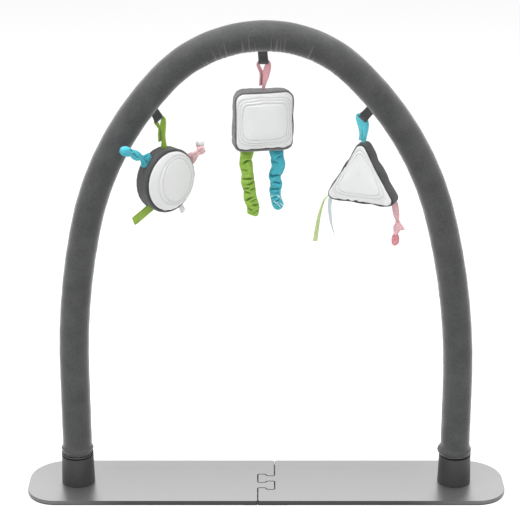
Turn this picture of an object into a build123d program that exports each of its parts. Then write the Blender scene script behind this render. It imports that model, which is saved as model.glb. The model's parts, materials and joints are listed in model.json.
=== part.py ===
from build123d import *
import os
from math import acos, cos, degrees, radians, sin

# Toy arch: two steel base halves locked by a jigsaw seam, a padded arch plugged into two cups,
# and three stuffed toys on ribbon straps. Millimetres, +Z up, front towards -Y, origin at the
# middle of the base on the surface that it stands on.

# Base plate
PLATE_LENGTH = 686
PLATE_DEPTH = 127
PLATE_THICK = 5
PLATE_FRONT_CORNER = 42
PLATE_BACK_CORNER = 54
PLATE_EDGE_ROUND = 0.8
MAT_THICK = 2
MAT_INSET = 1
PLATE_TOP = MAT_THICK + PLATE_THICK

# Jigsaw seam: each half has one bulb-ended tab, and the seam is the same turned half a turn
SEAM_GAP = 0.8
SEAM_CENTRE_Y = -4.5
TAB_HALF_REACH = 12.2
TAB_BULB_SIDE = 23.7
TAB_NECK_SIDE = 18.5
TAB_MIDDLE_STEP = 2.0
TAB_STEP_HALF = 1.5
SEAM_ROUND = 2.2
SEAM_END_ROUND = 3

# Arch centre line: straight legs, then a side, a shoulder and a crown arc. The soft arch leans a
# little to the left, so its two sides turn by different angles.
LEG_SPACING = 544.2
SIDE_RADIUS = 1005
SHOULDER_RADIUS = 440
LEFT_TURNS = (12.35, 31.2)
RIGHT_TURNS = (14.7, 32.1)
CROWN_X = -1.4
CROWN_TOP_Z = 668.3
CORE_RADIUS = 5
FOAM_RADIUS = 19.2
COVER_RADIUS = 20.5
LAYER_GAP = 0.15

# Cups and plugs
CUP_FOOT_RADIUS = 23.9
CUP_RIM_RADIUS = 22.7
CUP_RIM_Z = 50
CUP_BORE_RADIUS = 18.9
CUP_FLOOR = 7
CUP_RIM_ROUND = 1.2
CUP_FOOT_ROUND = 0.8
PLUG_CLEARANCE = 0.3
PLUG_FOOT_GAP = 1
PLUG_LEAD_IN = 4
COLLAR_RADIUS = 22.4
COLLAR_HEIGHT = 4
COLLAR_ROUND = 1
CORE_END_Z = 20
SCREW_COUNT = 3
SCREW_CIRCLE_RADIUS = 12
SCREW_RADIUS = 2
SCREW_HEAD_RADIUS = 4
SCREW_HEAD_HEIGHT = 2.4
SCREW_LENGTH = 9.5
HOLE_CLEARANCE = 0.1

# Cover hems: the left one stops at the collar, the right one is pushed down over it
HEM_HEIGHT = 9
HEM_RADIUS = 21.6
HEM_SWELL = 0.5
HEM_BULGE_RADIUS = 24
HEM_BULGE_HEIGHT = 19.5
HEM_BULGE_LIFT = 1.5

# Webbing loops on the inner seam of the cover
LOOP_WIDTH = 13
LOOP_DROP = 17
LEFT_LOOP_DROP = 14.5
LOOP_FOLD_RADIUS = 7
LOOP_SEWN_LENGTH = 4.5
LOOP_HOLE_TOP_RADIUS = 0.5
WEBBING_THICK = 1.3
LOOP_LEAN = 42
LOOP_STANDOFF = 2.9

# Ribbon straps with a hook and a loop pad between their two ends
STRAP_WIDTH = 10
STRAP_THICK = 1
STRAP_CLEARANCE = 1.1
STRAP_SLOT_DEPTH = 2.4
STRAP_MEET_DROP = 8
PAD_THICK = 0.8
PAD_LENGTH = 11
PAD_MARGIN = 1
PAD_PLAY = 0.05
STRAP_END_LIFT = 4
TURN_GAP = 0.4

# Toys: gusset depth, crown of the quilted faces, and how the seams draw the sides in
GUSSET_DEPTH = 25
GUSSET_BULGE = 1.6
GUSSET_THICK = 1.4
FACE_CROWN = 5.5
FACE_EDGE = 1
FACE_STEPS = ((1.0, 0.0), (0.93, 0.42), (0.74, 0.8), (0.4, 1.0))
FACE_GAP = 0.1
FILLING_GAP = 0.4
SIDE_DRAW_IN = 0.8
DISC_RADIUS = 42.3
DISC_SHOULDER = 0.72
DISC_SHOULDER_RISE = 0.82
SQUARE_SIDE = 79
SQUARE_CORNER = 11
TRIANGLE_BASE = 104.8
TRIANGLE_HEIGHT = 89.9
TRIANGLE_CORNER = 7.5

# Where each toy hangs: loop position along X, top of the toy, and how far it has turned
DISC_LOOP_X, DISC_TOP_Z, DISC_TURN = -149.7, 512, 44
SQUARE_LOOP_X, SQUARE_TOP_Z, SQUARE_TURN = -5.5, 595.1, 12
TRIANGLE_LOOP_X, TRIANGLE_TOP_Z, TRIANGLE_TURN = 141.5, 521.6, -24
TRIANGLE_SHIFT = 4.1

# Limbs, tags and ribbons
LEG_RADIUS = 9.4
LEG_PINCH = 7.4
LEG_UNEVEN = 0.35
LEG_FOOT_RADIUS = 10.3
LEG_NECK = 3
GREEN_LEG_LENGTH, GREEN_LEG_RINGS = 94, 10
BLUE_LEG_LENGTH, BLUE_LEG_RINGS = 89, 9
GREEN_LEG_X = -21.5
BLUE_LEG_X = 19.3
GREEN_LEG_LEAN = 5
BLUE_LEG_LEAN = 1.5
PINK_KNOT_X, PINK_KNOT_BACK, PINK_KNOT_LIFT = 46, 7, 1.3
GREEN_RIBBON_BACK = 4
PALE_RIBBON_BACK = -4
GREEN_RIBBON_ROUTE = [(-48, 3.4), (-58, -6), (-65, -32), (-71, -69)]
PALE_RIBBON_ROUTE = [(-45, 1), (-47.6, -8), (-46, -30), (-38.5, -56)]
SEWN_END = 1.2
TAG_FLARE = 4.2
TAG_WAIST = 3
KNOT_RADIUS = 6.2
TAG_END_ROUND = 2
TAG_TUCK = 3
LIMB_GAP = 0.5
RIBBON_WIDTH = 6
RIBBON_THICK = 0.8
RIBBON_BEND = 14

os.makedirs("parts", exist_ok=True)


def save(name, shape):
    export_step(shape, f"parts/{name}.step")


# Base plates, mats and the jigsaw seam

def seam_line():
    """Seam from behind the back edge to in front of the front edge."""
    a, bulb, neck = TAB_HALF_REACH, TAB_BULB_SIDE, TAB_NECK_SIDE
    mid, step = TAB_MIDDLE_STEP, TAB_STEP_HALF
    back_half = [
        (a, PLATE_DEPTH), (a, neck), (step, neck), (-step, bulb), (-a, bulb), (-a, -mid), (-step, -mid)]
    front_half = [(-x, -y) for x, y in reversed(back_half)]
    return Pos(0, SEAM_CENTRE_Y) * FilletPolyline(*back_half, *front_half, radius=SEAM_ROUND)


def plate_outline():
    outline = Rectangle(PLATE_LENGTH, PLATE_DEPTH)
    outline = fillet(outline.vertices().group_by(Axis.Y)[0], PLATE_FRONT_CORNER)
    return fillet(outline.vertices().group_by(Axis.Y)[-1], PLATE_BACK_CORNER)


def two_halves(outline, thick, gap, z):
    """Cut a sheet along the seam and give its left and right halves."""
    sheet = Pos(0, 0, z) * extrude(outline, thick)
    band = Pos(0, 0, z - 1) * extrude(trace(seam_line(), gap), thick + 2)
    return (sheet - band).solids().sort_by(Axis.X)


def at_seam_end(edge):
    middle = edge.center()
    return abs(middle.X) < 2 * TAB_HALF_REACH and abs(middle.Y) > PLATE_DEPTH / 2 - 1


def screw_places(leg_x):
    return Pos(leg_x, 0, MAT_THICK) * PolarLocations(SCREW_CIRCLE_RADIUS, SCREW_COUNT, start_angle=90)


def screw(clearance=0.0):
    """Countersunk screw, head down, with its head flush with the underside of the plate."""
    shank = SCREW_RADIUS + clearance
    head = SCREW_HEAD_RADIUS + clearance
    profile = Polyline(
        (0, 0), (head, 0), (shank, SCREW_HEAD_HEIGHT + clearance), (shank, SCREW_LENGTH + clearance),
        (0, SCREW_LENGTH + clearance), close=True)
    return revolve(make_face(Plane.XZ * profile), Axis.Z)


LEG_X = LEG_SPACING / 2
plates = two_halves(plate_outline(), PLATE_THICK, SEAM_GAP, MAT_THICK)
mats = two_halves(offset(plate_outline(), -MAT_INSET), MAT_THICK, SEAM_GAP + 2 * MAT_INSET, 0)
for side, leg_x, plate, mat in zip(("left", "right"), (-LEG_X, LEG_X), plates, mats):
    plate = plate.fillet(SEAM_END_ROUND, plate.edges().filter_by(Axis.Z).filter_by(at_seam_end))
    plate = plate.fillet(PLATE_EDGE_ROUND, plate.faces().sort_by(Axis.Z)[-1].outer_wire().edges())
    holes = [place * screw(HOLE_CLEARANCE) for place in screw_places(leg_x)]
    save(f"base_plate_{side}", plate - holes)
    save(f"grip_mat_{side}", mat)
    save(f"socket_screws_{side}", Compound(children=[place * screw() for place in screw_places(leg_x)]))


# Cups: slightly tapered, with a rolled rim and a small foot round

def cup():
    floor = PLATE_TOP + CUP_FLOOR
    outside = Polyline(
        (0, PLATE_TOP), (CUP_FOOT_RADIUS, PLATE_TOP), (CUP_RIM_RADIUS, CUP_RIM_Z),
        (CUP_BORE_RADIUS, CUP_RIM_Z), (CUP_BORE_RADIUS, floor), (0, floor), close=True)
    body = revolve(make_face(Plane.XZ * outside), Axis.Z)
    rim = body.edges().filter_by(GeomType.CIRCLE).group_by(Axis.Z)[-1]
    body = fillet(rim, CUP_RIM_ROUND)
    foot = body.edges().filter_by(GeomType.CIRCLE).group_by(Axis.Z)[0]
    return fillet(foot, CUP_FOOT_ROUND)


def plug():
    """Spigot for the cup, a collar that rests on the rim, and a blind bore for the core."""
    spigot = CUP_BORE_RADIUS - PLUG_CLEARANCE
    bottom = PLATE_TOP + CUP_FLOOR + PLUG_FOOT_GAP
    collar = CUP_RIM_Z + PLUG_CLEARANCE
    profile = Polyline(
        (0, bottom), (spigot - PLUG_LEAD_IN / 2, bottom), (spigot, bottom + PLUG_LEAD_IN),
        (spigot, collar), (COLLAR_RADIUS, collar), (COLLAR_RADIUS, collar + COLLAR_HEIGHT),
        (0, collar + COLLAR_HEIGHT), close=True)
    body = revolve(make_face(Plane.XZ * profile), Axis.Z)
    rim = [edge for edge in body.edges().filter_by(GeomType.CIRCLE) if edge.radius > CUP_BORE_RADIUS]
    body = fillet(rim, COLLAR_ROUND)
    bore_depth = collar + COLLAR_HEIGHT - CORE_END_Z + LAYER_GAP
    bore = Cylinder(CORE_RADIUS + LAYER_GAP, bore_depth, align=(Align.CENTER, Align.CENTER, Align.MIN))
    return body - Pos(0, 0, CORE_END_Z - LAYER_GAP) * bore


for side, leg_x in (("left", -LEG_X), ("right", LEG_X)):
    holes = [place * screw(HOLE_CLEARANCE) for place in screw_places(leg_x)]
    save(f"socket_{side}", Pos(leg_x, 0, 0) * cup() - holes)
    save(f"plug_{side}", Pos(leg_x, 0, 0) * plug())


# Arch: rod, foam and knitted cover on one centre line

class ArchSide:
    """One side of the arch, with its arcs measured outwards from the middle of the crown."""

    def __init__(self, side, side_turn, shoulder_turn):
        self.side = side
        self.side_turn = side_turn
        self.shoulder_turn = shoulder_turn
        shoulder_start = radians(side_turn)
        self.shoulder_end = radians(side_turn + shoulder_turn)
        leg = LEG_X - side * CROWN_X
        side_end = leg - SIDE_RADIUS * (1 - cos(shoulder_start))
        self.shoulder_centre = side_end - SHOULDER_RADIUS * cos(shoulder_start)
        crown_edge = self.shoulder_centre + SHOULDER_RADIUS * cos(self.shoulder_end)
        self.crown_radius = crown_edge / cos(self.shoulder_end)
        self.crown_centre_z = CROWN_TOP_Z - self.crown_radius
        rise = (self.crown_radius - SHOULDER_RADIUS) * sin(self.shoulder_end)
        self.shoulder_centre_z = self.crown_centre_z + rise
        drop = (SIDE_RADIUS - SHOULDER_RADIUS) * sin(shoulder_start)
        self.straight_top = self.shoulder_centre_z - drop

    def arcs_up(self):
        crown_turn = 90 - degrees(self.shoulder_end)
        return [
            (SIDE_RADIUS, self.side_turn), (SHOULDER_RADIUS, self.shoulder_turn),
            (self.crown_radius, crown_turn)]


LEFT_SIDE = ArchSide(-1, *LEFT_TURNS)
RIGHT_SIDE = ArchSide(1, *RIGHT_TURNS)


def arch_line(foot_z):
    """Centre line from the right foot over the crown to the left foot."""
    line = Line((LEG_X, foot_z), (LEG_X, RIGHT_SIDE.straight_top))
    for radius, turn in RIGHT_SIDE.arcs_up() + LEFT_SIDE.arcs_up()[::-1]:
        line += JernArc(line @ 1, line % 1, radius, turn)
    line += Line(line @ 1, (-LEG_X, foot_z))
    return Plane.XZ * line


def tube(radius, foot_z, bore=0):
    line = arch_line(foot_z)
    start = Plane(origin=line @ 0, z_dir=line % 0)
    body = sweep(start * Circle(radius), path=line)
    if bore:
        body -= sweep(start * Circle(bore), path=line)
    return body


def hem_ring(points):
    return revolve(make_face(Plane.XZ * Polyline(*points, close=True)), Axis.Z)


COLLAR_TOP = CUP_RIM_Z + PLUG_CLEARANCE + COLLAR_HEIGHT
SLEEVE_FOOT = COLLAR_TOP + LAYER_GAP
COVER_BORE = FOAM_RADIUS + LAYER_GAP
left_top = SLEEVE_FOOT + HEM_HEIGHT
left_hem = hem_ring([
    (COVER_BORE, SLEEVE_FOOT), (HEM_RADIUS, SLEEVE_FOOT),
    (HEM_RADIUS + HEM_SWELL, (SLEEVE_FOOT + left_top) / 2),
    (COVER_RADIUS, left_top), (COVER_BORE, left_top)])
right_foot = CUP_RIM_Z + HEM_BULGE_LIFT
right_top = right_foot + HEM_BULGE_HEIGHT
right_hem = hem_ring([
    (COLLAR_RADIUS + LAYER_GAP, right_foot), (HEM_BULGE_RADIUS - HEM_SWELL, right_foot),
    (HEM_BULGE_RADIUS, right_foot + HEM_BULGE_HEIGHT * 0.4),
    (HEM_BULGE_RADIUS - 2 * HEM_SWELL, right_foot + HEM_BULGE_HEIGHT * 0.7),
    (COVER_RADIUS, right_top), (COVER_BORE, right_top),
    (COVER_BORE, SLEEVE_FOOT), (COLLAR_RADIUS + LAYER_GAP, SLEEVE_FOOT)])
cover = tube(COVER_RADIUS, SLEEVE_FOOT, COVER_BORE)
cover += Pos(-LEG_X, 0, 0) * left_hem
cover += Pos(LEG_X, 0, 0) * right_hem
save("arch_core", tube(CORE_RADIUS, CORE_END_Z))
save("foam_sleeve", tube(FOAM_RADIUS, SLEEVE_FOOT, CORE_RADIUS + LAYER_GAP))
save("arch_cover", cover)


# Webbing loops and straps

def loop_frame(x):
    """Pivot of a webbing loop at the inner seam, and the lean of its hang from plumb."""
    arch = RIGHT_SIDE if x > CROWN_X else LEFT_SIDE
    out = abs(x - CROWN_X)
    inner = arch.crown_radius - COVER_RADIUS
    if out < inner * cos(arch.shoulder_end):
        normal = acos(out / inner)
        surface_z = arch.crown_centre_z + inner * sin(normal)
        lean = 0
    else:
        inner = SHOULDER_RADIUS - COVER_RADIUS
        normal = acos((out - arch.shoulder_centre) / inner)
        surface_z = arch.shoulder_centre_z + inner * sin(normal)
        lean = LOOP_LEAN
    pivot_x = x - arch.side * LOOP_STANDOFF * cos(normal)
    pivot_z = surface_z - LOOP_STANDOFF * sin(normal)
    return pivot_x, pivot_z, arch.side * lean


def webbing_loop(x, drop):
    """Strap folded into a drop-shaped loop, turning on its sewn upper end."""
    pivot_x, pivot_z, lean = loop_frame(x)
    fold = Pos(0, LOOP_FOLD_RADIUS - drop)
    outer = make_hull(Circle(WEBBING_THICK).edges() + (fold * Circle(LOOP_FOLD_RADIUS)).edges())
    hole_top = Pos(0, -LOOP_SEWN_LENGTH) * Circle(LOOP_HOLE_TOP_RADIUS)
    hole = make_hull(hole_top.edges() + (fold * Circle(LOOP_FOLD_RADIUS - WEBBING_THICK)).edges())
    flat = Plane.YZ * (outer - hole)
    ring = extrude(flat, LOOP_WIDTH / 2, both=True)
    return Pos(pivot_x, 0, pivot_z) * Rot(0, lean, 0) * ring


def strap(loop_x, drop, toy_top_z):
    """Ribbon through a webbing loop: a drop-shaped bight, a short free end and a sewn end."""
    pivot_x, pivot_z, lean = loop_frame(loop_x)
    hang_x = pivot_x - drop * sin(radians(lean))
    half_gap = PAD_THICK + PAD_PLAY
    corners = []
    for along in (-1, 1):
        for down in (drop - 2 * STRAP_SLOT_DEPTH, drop):
            corner = Pos(pivot_x, pivot_z) * Rot(0, 0, -lean) * Pos(along * LOOP_WIDTH / 2, -down)
            corners.append(corner.position)
    lowest = min(corner.Y for corner in corners)
    meet = Pos(hang_x, lowest - STRAP_MEET_DROP)
    inner_edges = (meet * Circle(half_gap)).edges()
    outer_edges = (meet * Circle(half_gap + STRAP_THICK)).edges()
    for corner in corners:
        inner_edges += (Pos(corner.X, corner.Y) * Circle(STRAP_CLEARANCE)).edges()
        outer_edges += (Pos(corner.X, corner.Y) * Circle(STRAP_CLEARANCE + STRAP_THICK)).edges()
    bight = make_hull(outer_edges) - make_hull(inner_edges)
    top = meet.position.Y
    sewn_end = toy_top_z + TURN_GAP
    free_end = toy_top_z + STRAP_END_LIFT
    bight -= Pos(hang_x, top - STRAP_WIDTH / 2) * Rectangle(2 * half_gap, STRAP_WIDTH)
    middle = half_gap + STRAP_THICK / 2
    bight += Pos(hang_x + middle, (top + sewn_end) / 2) * Rectangle(STRAP_THICK, top - sewn_end)
    bight += Pos(hang_x - middle, (top + free_end) / 2) * Rectangle(STRAP_THICK, top - free_end)
    return hang_x, free_end, extrude(Plane.XZ * bight, STRAP_WIDTH / 2, both=True)


def hanger(toy, place, loop_x, drop, toy_top_z):
    save(f"webbing_loop_{place}", webbing_loop(loop_x, drop))
    hang_x, free_end, ribbon = strap(loop_x, drop, toy_top_z)
    save(f"strap_{toy}", ribbon)
    pad = Box(PAD_THICK - PAD_PLAY, STRAP_WIDTH - 2 * PAD_MARGIN, PAD_LENGTH)
    pad_z = free_end + PAD_MARGIN + PAD_LENGTH / 2
    save(f"hook_pad_{toy}", Pos(hang_x - PAD_THICK / 2, 0, pad_z) * pad)
    save(f"loop_pad_{toy}", Pos(hang_x + PAD_THICK / 2, 0, pad_z) * pad)
    return hang_x


# Cushions: quilted crowned faces on a gusset band round a filling

def drawn_outline(points, corner):
    """Rounded polygon whose sides are pulled in a little between its corners."""
    outline = fillet(Polygon(*points, align=None).vertices(), corner)
    edges = []
    for edge in outline.edges():
        if edge.geom_type == GeomType.CIRCLE:
            edges.append(edge)
        else:
            start, end = edge @ 0, edge @ 1
            normal = (edge % 0).rotate(Axis.Z, 90)
            inward = normal if (edge @ 0.5 + normal * 2).length < (edge @ 0.5).length else -normal
            edges.append(ThreePointArc(start, edge @ 0.5 + inward * SIDE_DRAW_IN, end))
    return make_face(edges)


def face_panel(outline):
    """Quilted face: flat inside, crowned outside, thin at the seam."""
    crown = FACE_CROWN - FACE_EDGE
    sections = [
        Pos(0, 0, FACE_EDGE + crown * height) * scale(outline, size)
        for size, height in FACE_STEPS]
    return extrude(outline, FACE_EDGE) + loft(sections)


def gusset_band(outline, half_width):
    """Band round the sides, swelling a little between its two seams."""
    swell = 1 + GUSSET_BULGE / half_width
    sections = [
        Pos(0, 0, depth) * scale(outline, size)
        for depth, size in ((-GUSSET_DEPTH / 2, 1), (0, swell), (GUSSET_DEPTH / 2, 1))]
    hollow = scale(outline, 1 - GUSSET_THICK / half_width)
    return loft(sections) - extrude(hollow, GUSSET_DEPTH, both=True)


def cushion(name, outline, half_width, place):
    """Four pieces of one toy, from an outline drawn in the plane of its faces."""
    stand = place * Rot(90, 0, 0)
    seat = GUSSET_DEPTH / 2 + FACE_GAP
    panel = face_panel(outline)
    core = scale(outline, 1 - (GUSSET_THICK + FILLING_GAP) / half_width)
    save(f"{name}_front_panel", stand * Pos(0, 0, seat) * panel)
    save(f"{name}_back_panel", stand * mirror(Pos(0, 0, seat) * panel, Plane.XY))
    save(f"{name}_gusset", stand * gusset_band(outline, half_width))
    save(f"{name}_filling", stand * extrude(core, GUSSET_DEPTH / 2 - FACE_GAP, both=True))


def round_cushion(name, radius, place):
    """The same four pieces for a round toy, turned about its middle."""
    stand = place * Rot(90, 0, 0)
    seat = GUSSET_DEPTH / 2 + FACE_GAP
    half = GUSSET_DEPTH / 2
    shoulder = (DISC_SHOULDER * radius, DISC_SHOULDER_RISE * FACE_CROWN)
    middle = TangentArc((0, FACE_CROWN), shoulder, tangent=(1, 0))
    rim = TangentArc(middle @ 1, (radius, FACE_EDGE), tangent=middle % 1)
    panel_edge = Polyline((radius, FACE_EDGE), (radius, 0), (0, 0), (0, FACE_CROWN))
    panel = revolve(make_face(Plane.XZ * (middle + rim + panel_edge)), Axis.Z)
    swell = ThreePointArc((radius, -half), (radius + GUSSET_BULGE, 0), (radius, half))
    inside = radius - GUSSET_THICK
    band_edge = Polyline((radius, half), (inside, half), (inside, -half), (radius, -half))
    band = revolve(make_face(Plane.XZ * (swell + band_edge)), Axis.Z)
    save(f"{name}_front_panel", stand * Pos(0, 0, seat) * panel)
    save(f"{name}_back_panel", stand * mirror(Pos(0, 0, seat) * panel, Plane.XY))
    save(f"{name}_gusset", stand * band)
    save(f"{name}_filling", stand * Cylinder(inside - FILLING_GAP, GUSSET_DEPTH - 2 * FACE_GAP))


# Tags, limbs and ribbons

def knotted_tag(stem, knot, tail, tail_radius):
    """Jersey strip along +Z: a flared sewn end, a knot, and a rounded loose end."""
    knot_top = stem + 2 * knot
    tip = knot_top + tail
    profile = Polyline(
        (0, 0), (SEWN_END, 0), (TAG_FLARE, TAG_FLARE), (TAG_WAIST, stem),
        (KNOT_RADIUS, stem + 0.7 * knot), (KNOT_RADIUS, stem + 1.3 * knot), (TAG_WAIST, knot_top),
        (tail_radius, knot_top + 0.4 * tail), (tail_radius, knot_top + 0.8 * tail),
        (SEWN_END, tip), (0, tip), close=True)
    return revolve(make_face(Plane.XZ * profile), Axis.Z)


def gathered_leg(length, rings):
    """Scrunched tube hanging down from its sewn top, with a fuller last ring as a foot."""
    ring_length = (length - LEG_NECK) / rings
    points = [(0, 0), (SEWN_END, 0)]
    for ring in range(rings):
        swell = LEG_RADIUS + LEG_UNEVEN * (ring % 2)
        if ring == rings - 1:
            swell = LEG_FOOT_RADIUS
        points.append((swell, -LEG_NECK - (ring + 0.5) * ring_length))
        points.append((LEG_PINCH, -LEG_NECK - (ring + 1) * ring_length))
    points.append((0, -length))
    return revolve(make_face(Plane.XZ * Polyline(*points, close=True)), Axis.Z)


def hanging_ribbon(points):
    """Narrow ribbon along a bent line, its width across the toy's face."""
    line = FilletPolyline(*points, radius=RIBBON_BEND)
    band = trace(line, RIBBON_WIDTH)
    return extrude(Plane.XZ * band, RIBBON_THICK / 2, both=True)


def flat_tag(length, width, thick):
    """Folded ribbon tag along +Z, starting a little inside the rim that it is sewn to."""
    height = length + TAG_TUCK
    tag = Box(length=width, width=thick, height=height, align=(Align.CENTER, Align.CENTER, Align.MIN))
    tag = fillet(tag.edges().filter_by(Axis.Y).group_by(Axis.Z)[-1], TAG_END_ROUND)
    return Pos(0, 0, -TAG_TUCK) * tag


# Disc toy
hang_x = hanger("disc", "left", DISC_LOOP_X, LEFT_LOOP_DROP, DISC_TOP_Z)
gusset_reach = DISC_RADIUS + GUSSET_BULGE
disc = Pos(hang_x, 0, DISC_TOP_Z - gusset_reach) * Rot(0, 0, DISC_TURN)
round_cushion("disc", DISC_RADIUS, disc)


def on_rim(angle, lean):
    """Place on the disc's gusset at an angle from its right-hand side, pointing out and leaning on."""
    return disc * Rot(0, 90 - angle, 0) * Pos(0, 0, gusset_reach + LIMB_GAP) * Rot(0, -lean, 0)


blue_knot = knotted_tag(stem=21, knot=6, tail=20, tail_radius=5.5)
pink_knot = knotted_tag(stem=11, knot=5, tail=14, tail_radius=4.6)
save("disc_blue_knot", on_rim(angle=136, lean=16) * blue_knot)
save("disc_pink_knot", on_rim(angle=22, lean=12) * pink_knot)
green_tag = on_rim(angle=230, lean=-27) * flat_tag(length=31, width=11, thick=2.4)
pale_tag = on_rim(angle=-60, lean=-4) * flat_tag(length=18, width=8, thick=1.6)
rim = disc * Rot(90, 0, 0) * Cylinder(gusset_reach + LIMB_GAP, GUSSET_DEPTH)
save("disc_green_tag", green_tag - rim)
save("disc_pale_tag", pale_tag - rim)

# Square toy
hang_x = hanger("square", "middle", SQUARE_LOOP_X, LOOP_DROP, SQUARE_TOP_Z)
half_side = SQUARE_SIDE / 2
square = Pos(hang_x, 0, SQUARE_TOP_Z - half_side - GUSSET_BULGE) * Rot(0, 0, SQUARE_TURN)
corners = [(x * half_side, y * half_side) for x, y in ((-1, -1), (1, -1), (1, 1), (-1, 1))]
cushion("square", drawn_outline(corners, SQUARE_CORNER), half_side, square)
leg_top = Pos(0, 0, -half_side - GUSSET_BULGE - LIMB_GAP)
green_leg_place = square * leg_top * Pos(GREEN_LEG_X, 0, 0) * Rot(0, -GREEN_LEG_LEAN, 0)
blue_leg_place = square * leg_top * Pos(BLUE_LEG_X, 0, 0) * Rot(0, -BLUE_LEG_LEAN, 0)
save("square_green_leg", green_leg_place * gathered_leg(GREEN_LEG_LENGTH, GREEN_LEG_RINGS))
save("square_blue_leg", blue_leg_place * gathered_leg(BLUE_LEG_LENGTH, BLUE_LEG_RINGS))

# Triangle toy: its outline is centred on the middle of its height
hang_x = hanger("triangle", "right", TRIANGLE_LOOP_X, LOOP_DROP, TRIANGLE_TOP_Z)
apex_angle = 90 - degrees(acos(TRIANGLE_BASE / 2 / (TRIANGLE_BASE**2 / 4 + TRIANGLE_HEIGHT**2) ** 0.5))
apex_cut = TRIANGLE_CORNER * (1 / sin(radians(apex_angle)) - 1)
rounded_height = TRIANGLE_HEIGHT - apex_cut
low, high = -rounded_height / 2, rounded_height / 2 + apex_cut
corners = [(-TRIANGLE_BASE / 2, low), (TRIANGLE_BASE / 2, low), (0, high)]
triangle_drop = rounded_height / 2 + GUSSET_BULGE
triangle = Pos(hang_x + TRIANGLE_SHIFT, 0, TRIANGLE_TOP_Z - triangle_drop) * Rot(0, 0, TRIANGLE_TURN)
cushion("triangle", drawn_outline(corners, TRIANGLE_CORNER), rounded_height / 2, triangle)
corner_drop = low - GUSSET_BULGE - LIMB_GAP
green_ribbon_place = triangle * Pos(0, GREEN_RIBBON_BACK, corner_drop)
pale_ribbon_place = triangle * Pos(0, PALE_RIBBON_BACK, corner_drop)
pink_knot_place = triangle * Pos(PINK_KNOT_X, PINK_KNOT_BACK, corner_drop + PINK_KNOT_LIFT)
pink_knot = knotted_tag(stem=24, knot=6, tail=26, tail_radius=5.2)
save("triangle_green_ribbon", green_ribbon_place * hanging_ribbon(GREEN_RIBBON_ROUTE))
save("triangle_pale_ribbon", pale_ribbon_place * hanging_ribbon(PALE_RIBBON_ROUTE))
save("triangle_pink_knot", pink_knot_place * Rot(0, 180, 0) * pink_knot)
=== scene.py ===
import json
from math import cos, pi, radians, sin

import bmesh
import bpy
import numpy as np
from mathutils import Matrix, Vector


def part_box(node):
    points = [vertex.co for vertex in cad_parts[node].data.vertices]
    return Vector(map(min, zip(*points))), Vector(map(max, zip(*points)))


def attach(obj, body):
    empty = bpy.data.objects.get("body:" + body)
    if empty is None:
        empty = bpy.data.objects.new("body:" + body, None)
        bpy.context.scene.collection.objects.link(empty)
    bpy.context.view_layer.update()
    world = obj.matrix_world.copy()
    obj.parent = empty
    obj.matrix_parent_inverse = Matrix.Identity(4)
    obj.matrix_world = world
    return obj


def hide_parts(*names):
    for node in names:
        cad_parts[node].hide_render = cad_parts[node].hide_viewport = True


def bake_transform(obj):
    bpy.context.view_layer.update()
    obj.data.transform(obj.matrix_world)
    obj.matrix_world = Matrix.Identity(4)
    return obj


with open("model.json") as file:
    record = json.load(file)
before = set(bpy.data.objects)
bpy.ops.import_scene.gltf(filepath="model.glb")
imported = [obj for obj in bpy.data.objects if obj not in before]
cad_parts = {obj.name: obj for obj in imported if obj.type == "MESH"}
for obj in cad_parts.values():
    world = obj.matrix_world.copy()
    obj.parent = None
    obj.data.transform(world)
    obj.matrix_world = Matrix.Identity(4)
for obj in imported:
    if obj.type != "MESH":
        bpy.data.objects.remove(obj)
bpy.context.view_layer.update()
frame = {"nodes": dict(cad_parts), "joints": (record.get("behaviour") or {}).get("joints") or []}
nodes = frame["nodes"]
joints = {joint["name"]: joint for joint in frame["joints"]}


# Base plates: two halves of 5 mm steel sheet, cut along a jigsaw seam and powder coated in a silver
# satin with a fine orange peel. The cut edges are painted dark as painted shade, most near the seam.
# The edges towards the ends, and the top towards the front and the ends, are painted lighter as a
# painted reflection.

def finish(name, **values):
    """Material with one Principled shader, whose plain values are given by socket name."""
    material = bpy.data.materials.new(name)
    material.use_nodes = True
    shader = material.node_tree.nodes["Principled BSDF"]
    for socket, value in values.items():
        shader.inputs[socket.replace("_", " ")].default_value = value
    return material


def feed(material, socket, output):
    """Let another node drive a socket of the material's shader."""
    shader = material.node_tree.nodes["Principled BSDF"]
    material.node_tree.links.new(output, shader.inputs[socket])


def node(material, kind, inputs=None, **settings):
    """New shader node; each input takes a plain value or another node's output."""
    made = material.node_tree.nodes.new(kind)
    for key, value in settings.items():
        setattr(made, key, value)
    for key, value in (inputs or {}).items():
        if isinstance(value, bpy.types.NodeSocket):
            material.node_tree.links.new(value, made.inputs[key])
        else:
            made.inputs[key].default_value = value
    return made


def maths(material, operation, first, second=0.0):
    return node(material, "ShaderNodeMath", {0: first, 1: second}, operation=operation).outputs[0]


def split(material, vector):
    """The X, Y and Z outputs of a vector."""
    return node(material, "ShaderNodeSeparateXYZ", {"Vector": vector}).outputs


def own_place(material):
    """Place on the piece in its own coordinates, in metres."""
    return node(material, "ShaderNodeTexCoord").outputs["Object"]


def speckle(material, scale, detail=2.0):
    """Noise over the piece, in spots of about 1 / scale metres."""
    spots = {"Vector": own_place(material), "Scale": scale, "Detail": detail}
    return node(material, "ShaderNodeTexNoise", spots).outputs["Fac"]


def spread(material, value, low, high, start=0.3, end=0.7):
    """Map a value from start..end, by default the range of most noise, to low..high."""
    ranged = node(material, "ShaderNodeMapRange", {
        "Value": value, "From Min": start, "From Max": end, "To Min": low, "To Max": high})
    return ranged.outputs["Result"]


def shades(material, value, dark, light):
    """Colour between two shades of one finish, each of them plain or another node's output."""
    mix = node(material, "ShaderNodeMix", {"Factor": value}, data_type="RGBA")
    ends = [socket for socket in mix.inputs if socket.type == "RGBA"]
    for socket, shade in zip(ends, (dark, light)):
        if isinstance(shade, bpy.types.NodeSocket):
            material.node_tree.links.new(shade, socket)
        else:
            socket.default_value = (*shade, 1)
    return next(output for output in mix.outputs if output.type == "RGBA")


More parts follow.
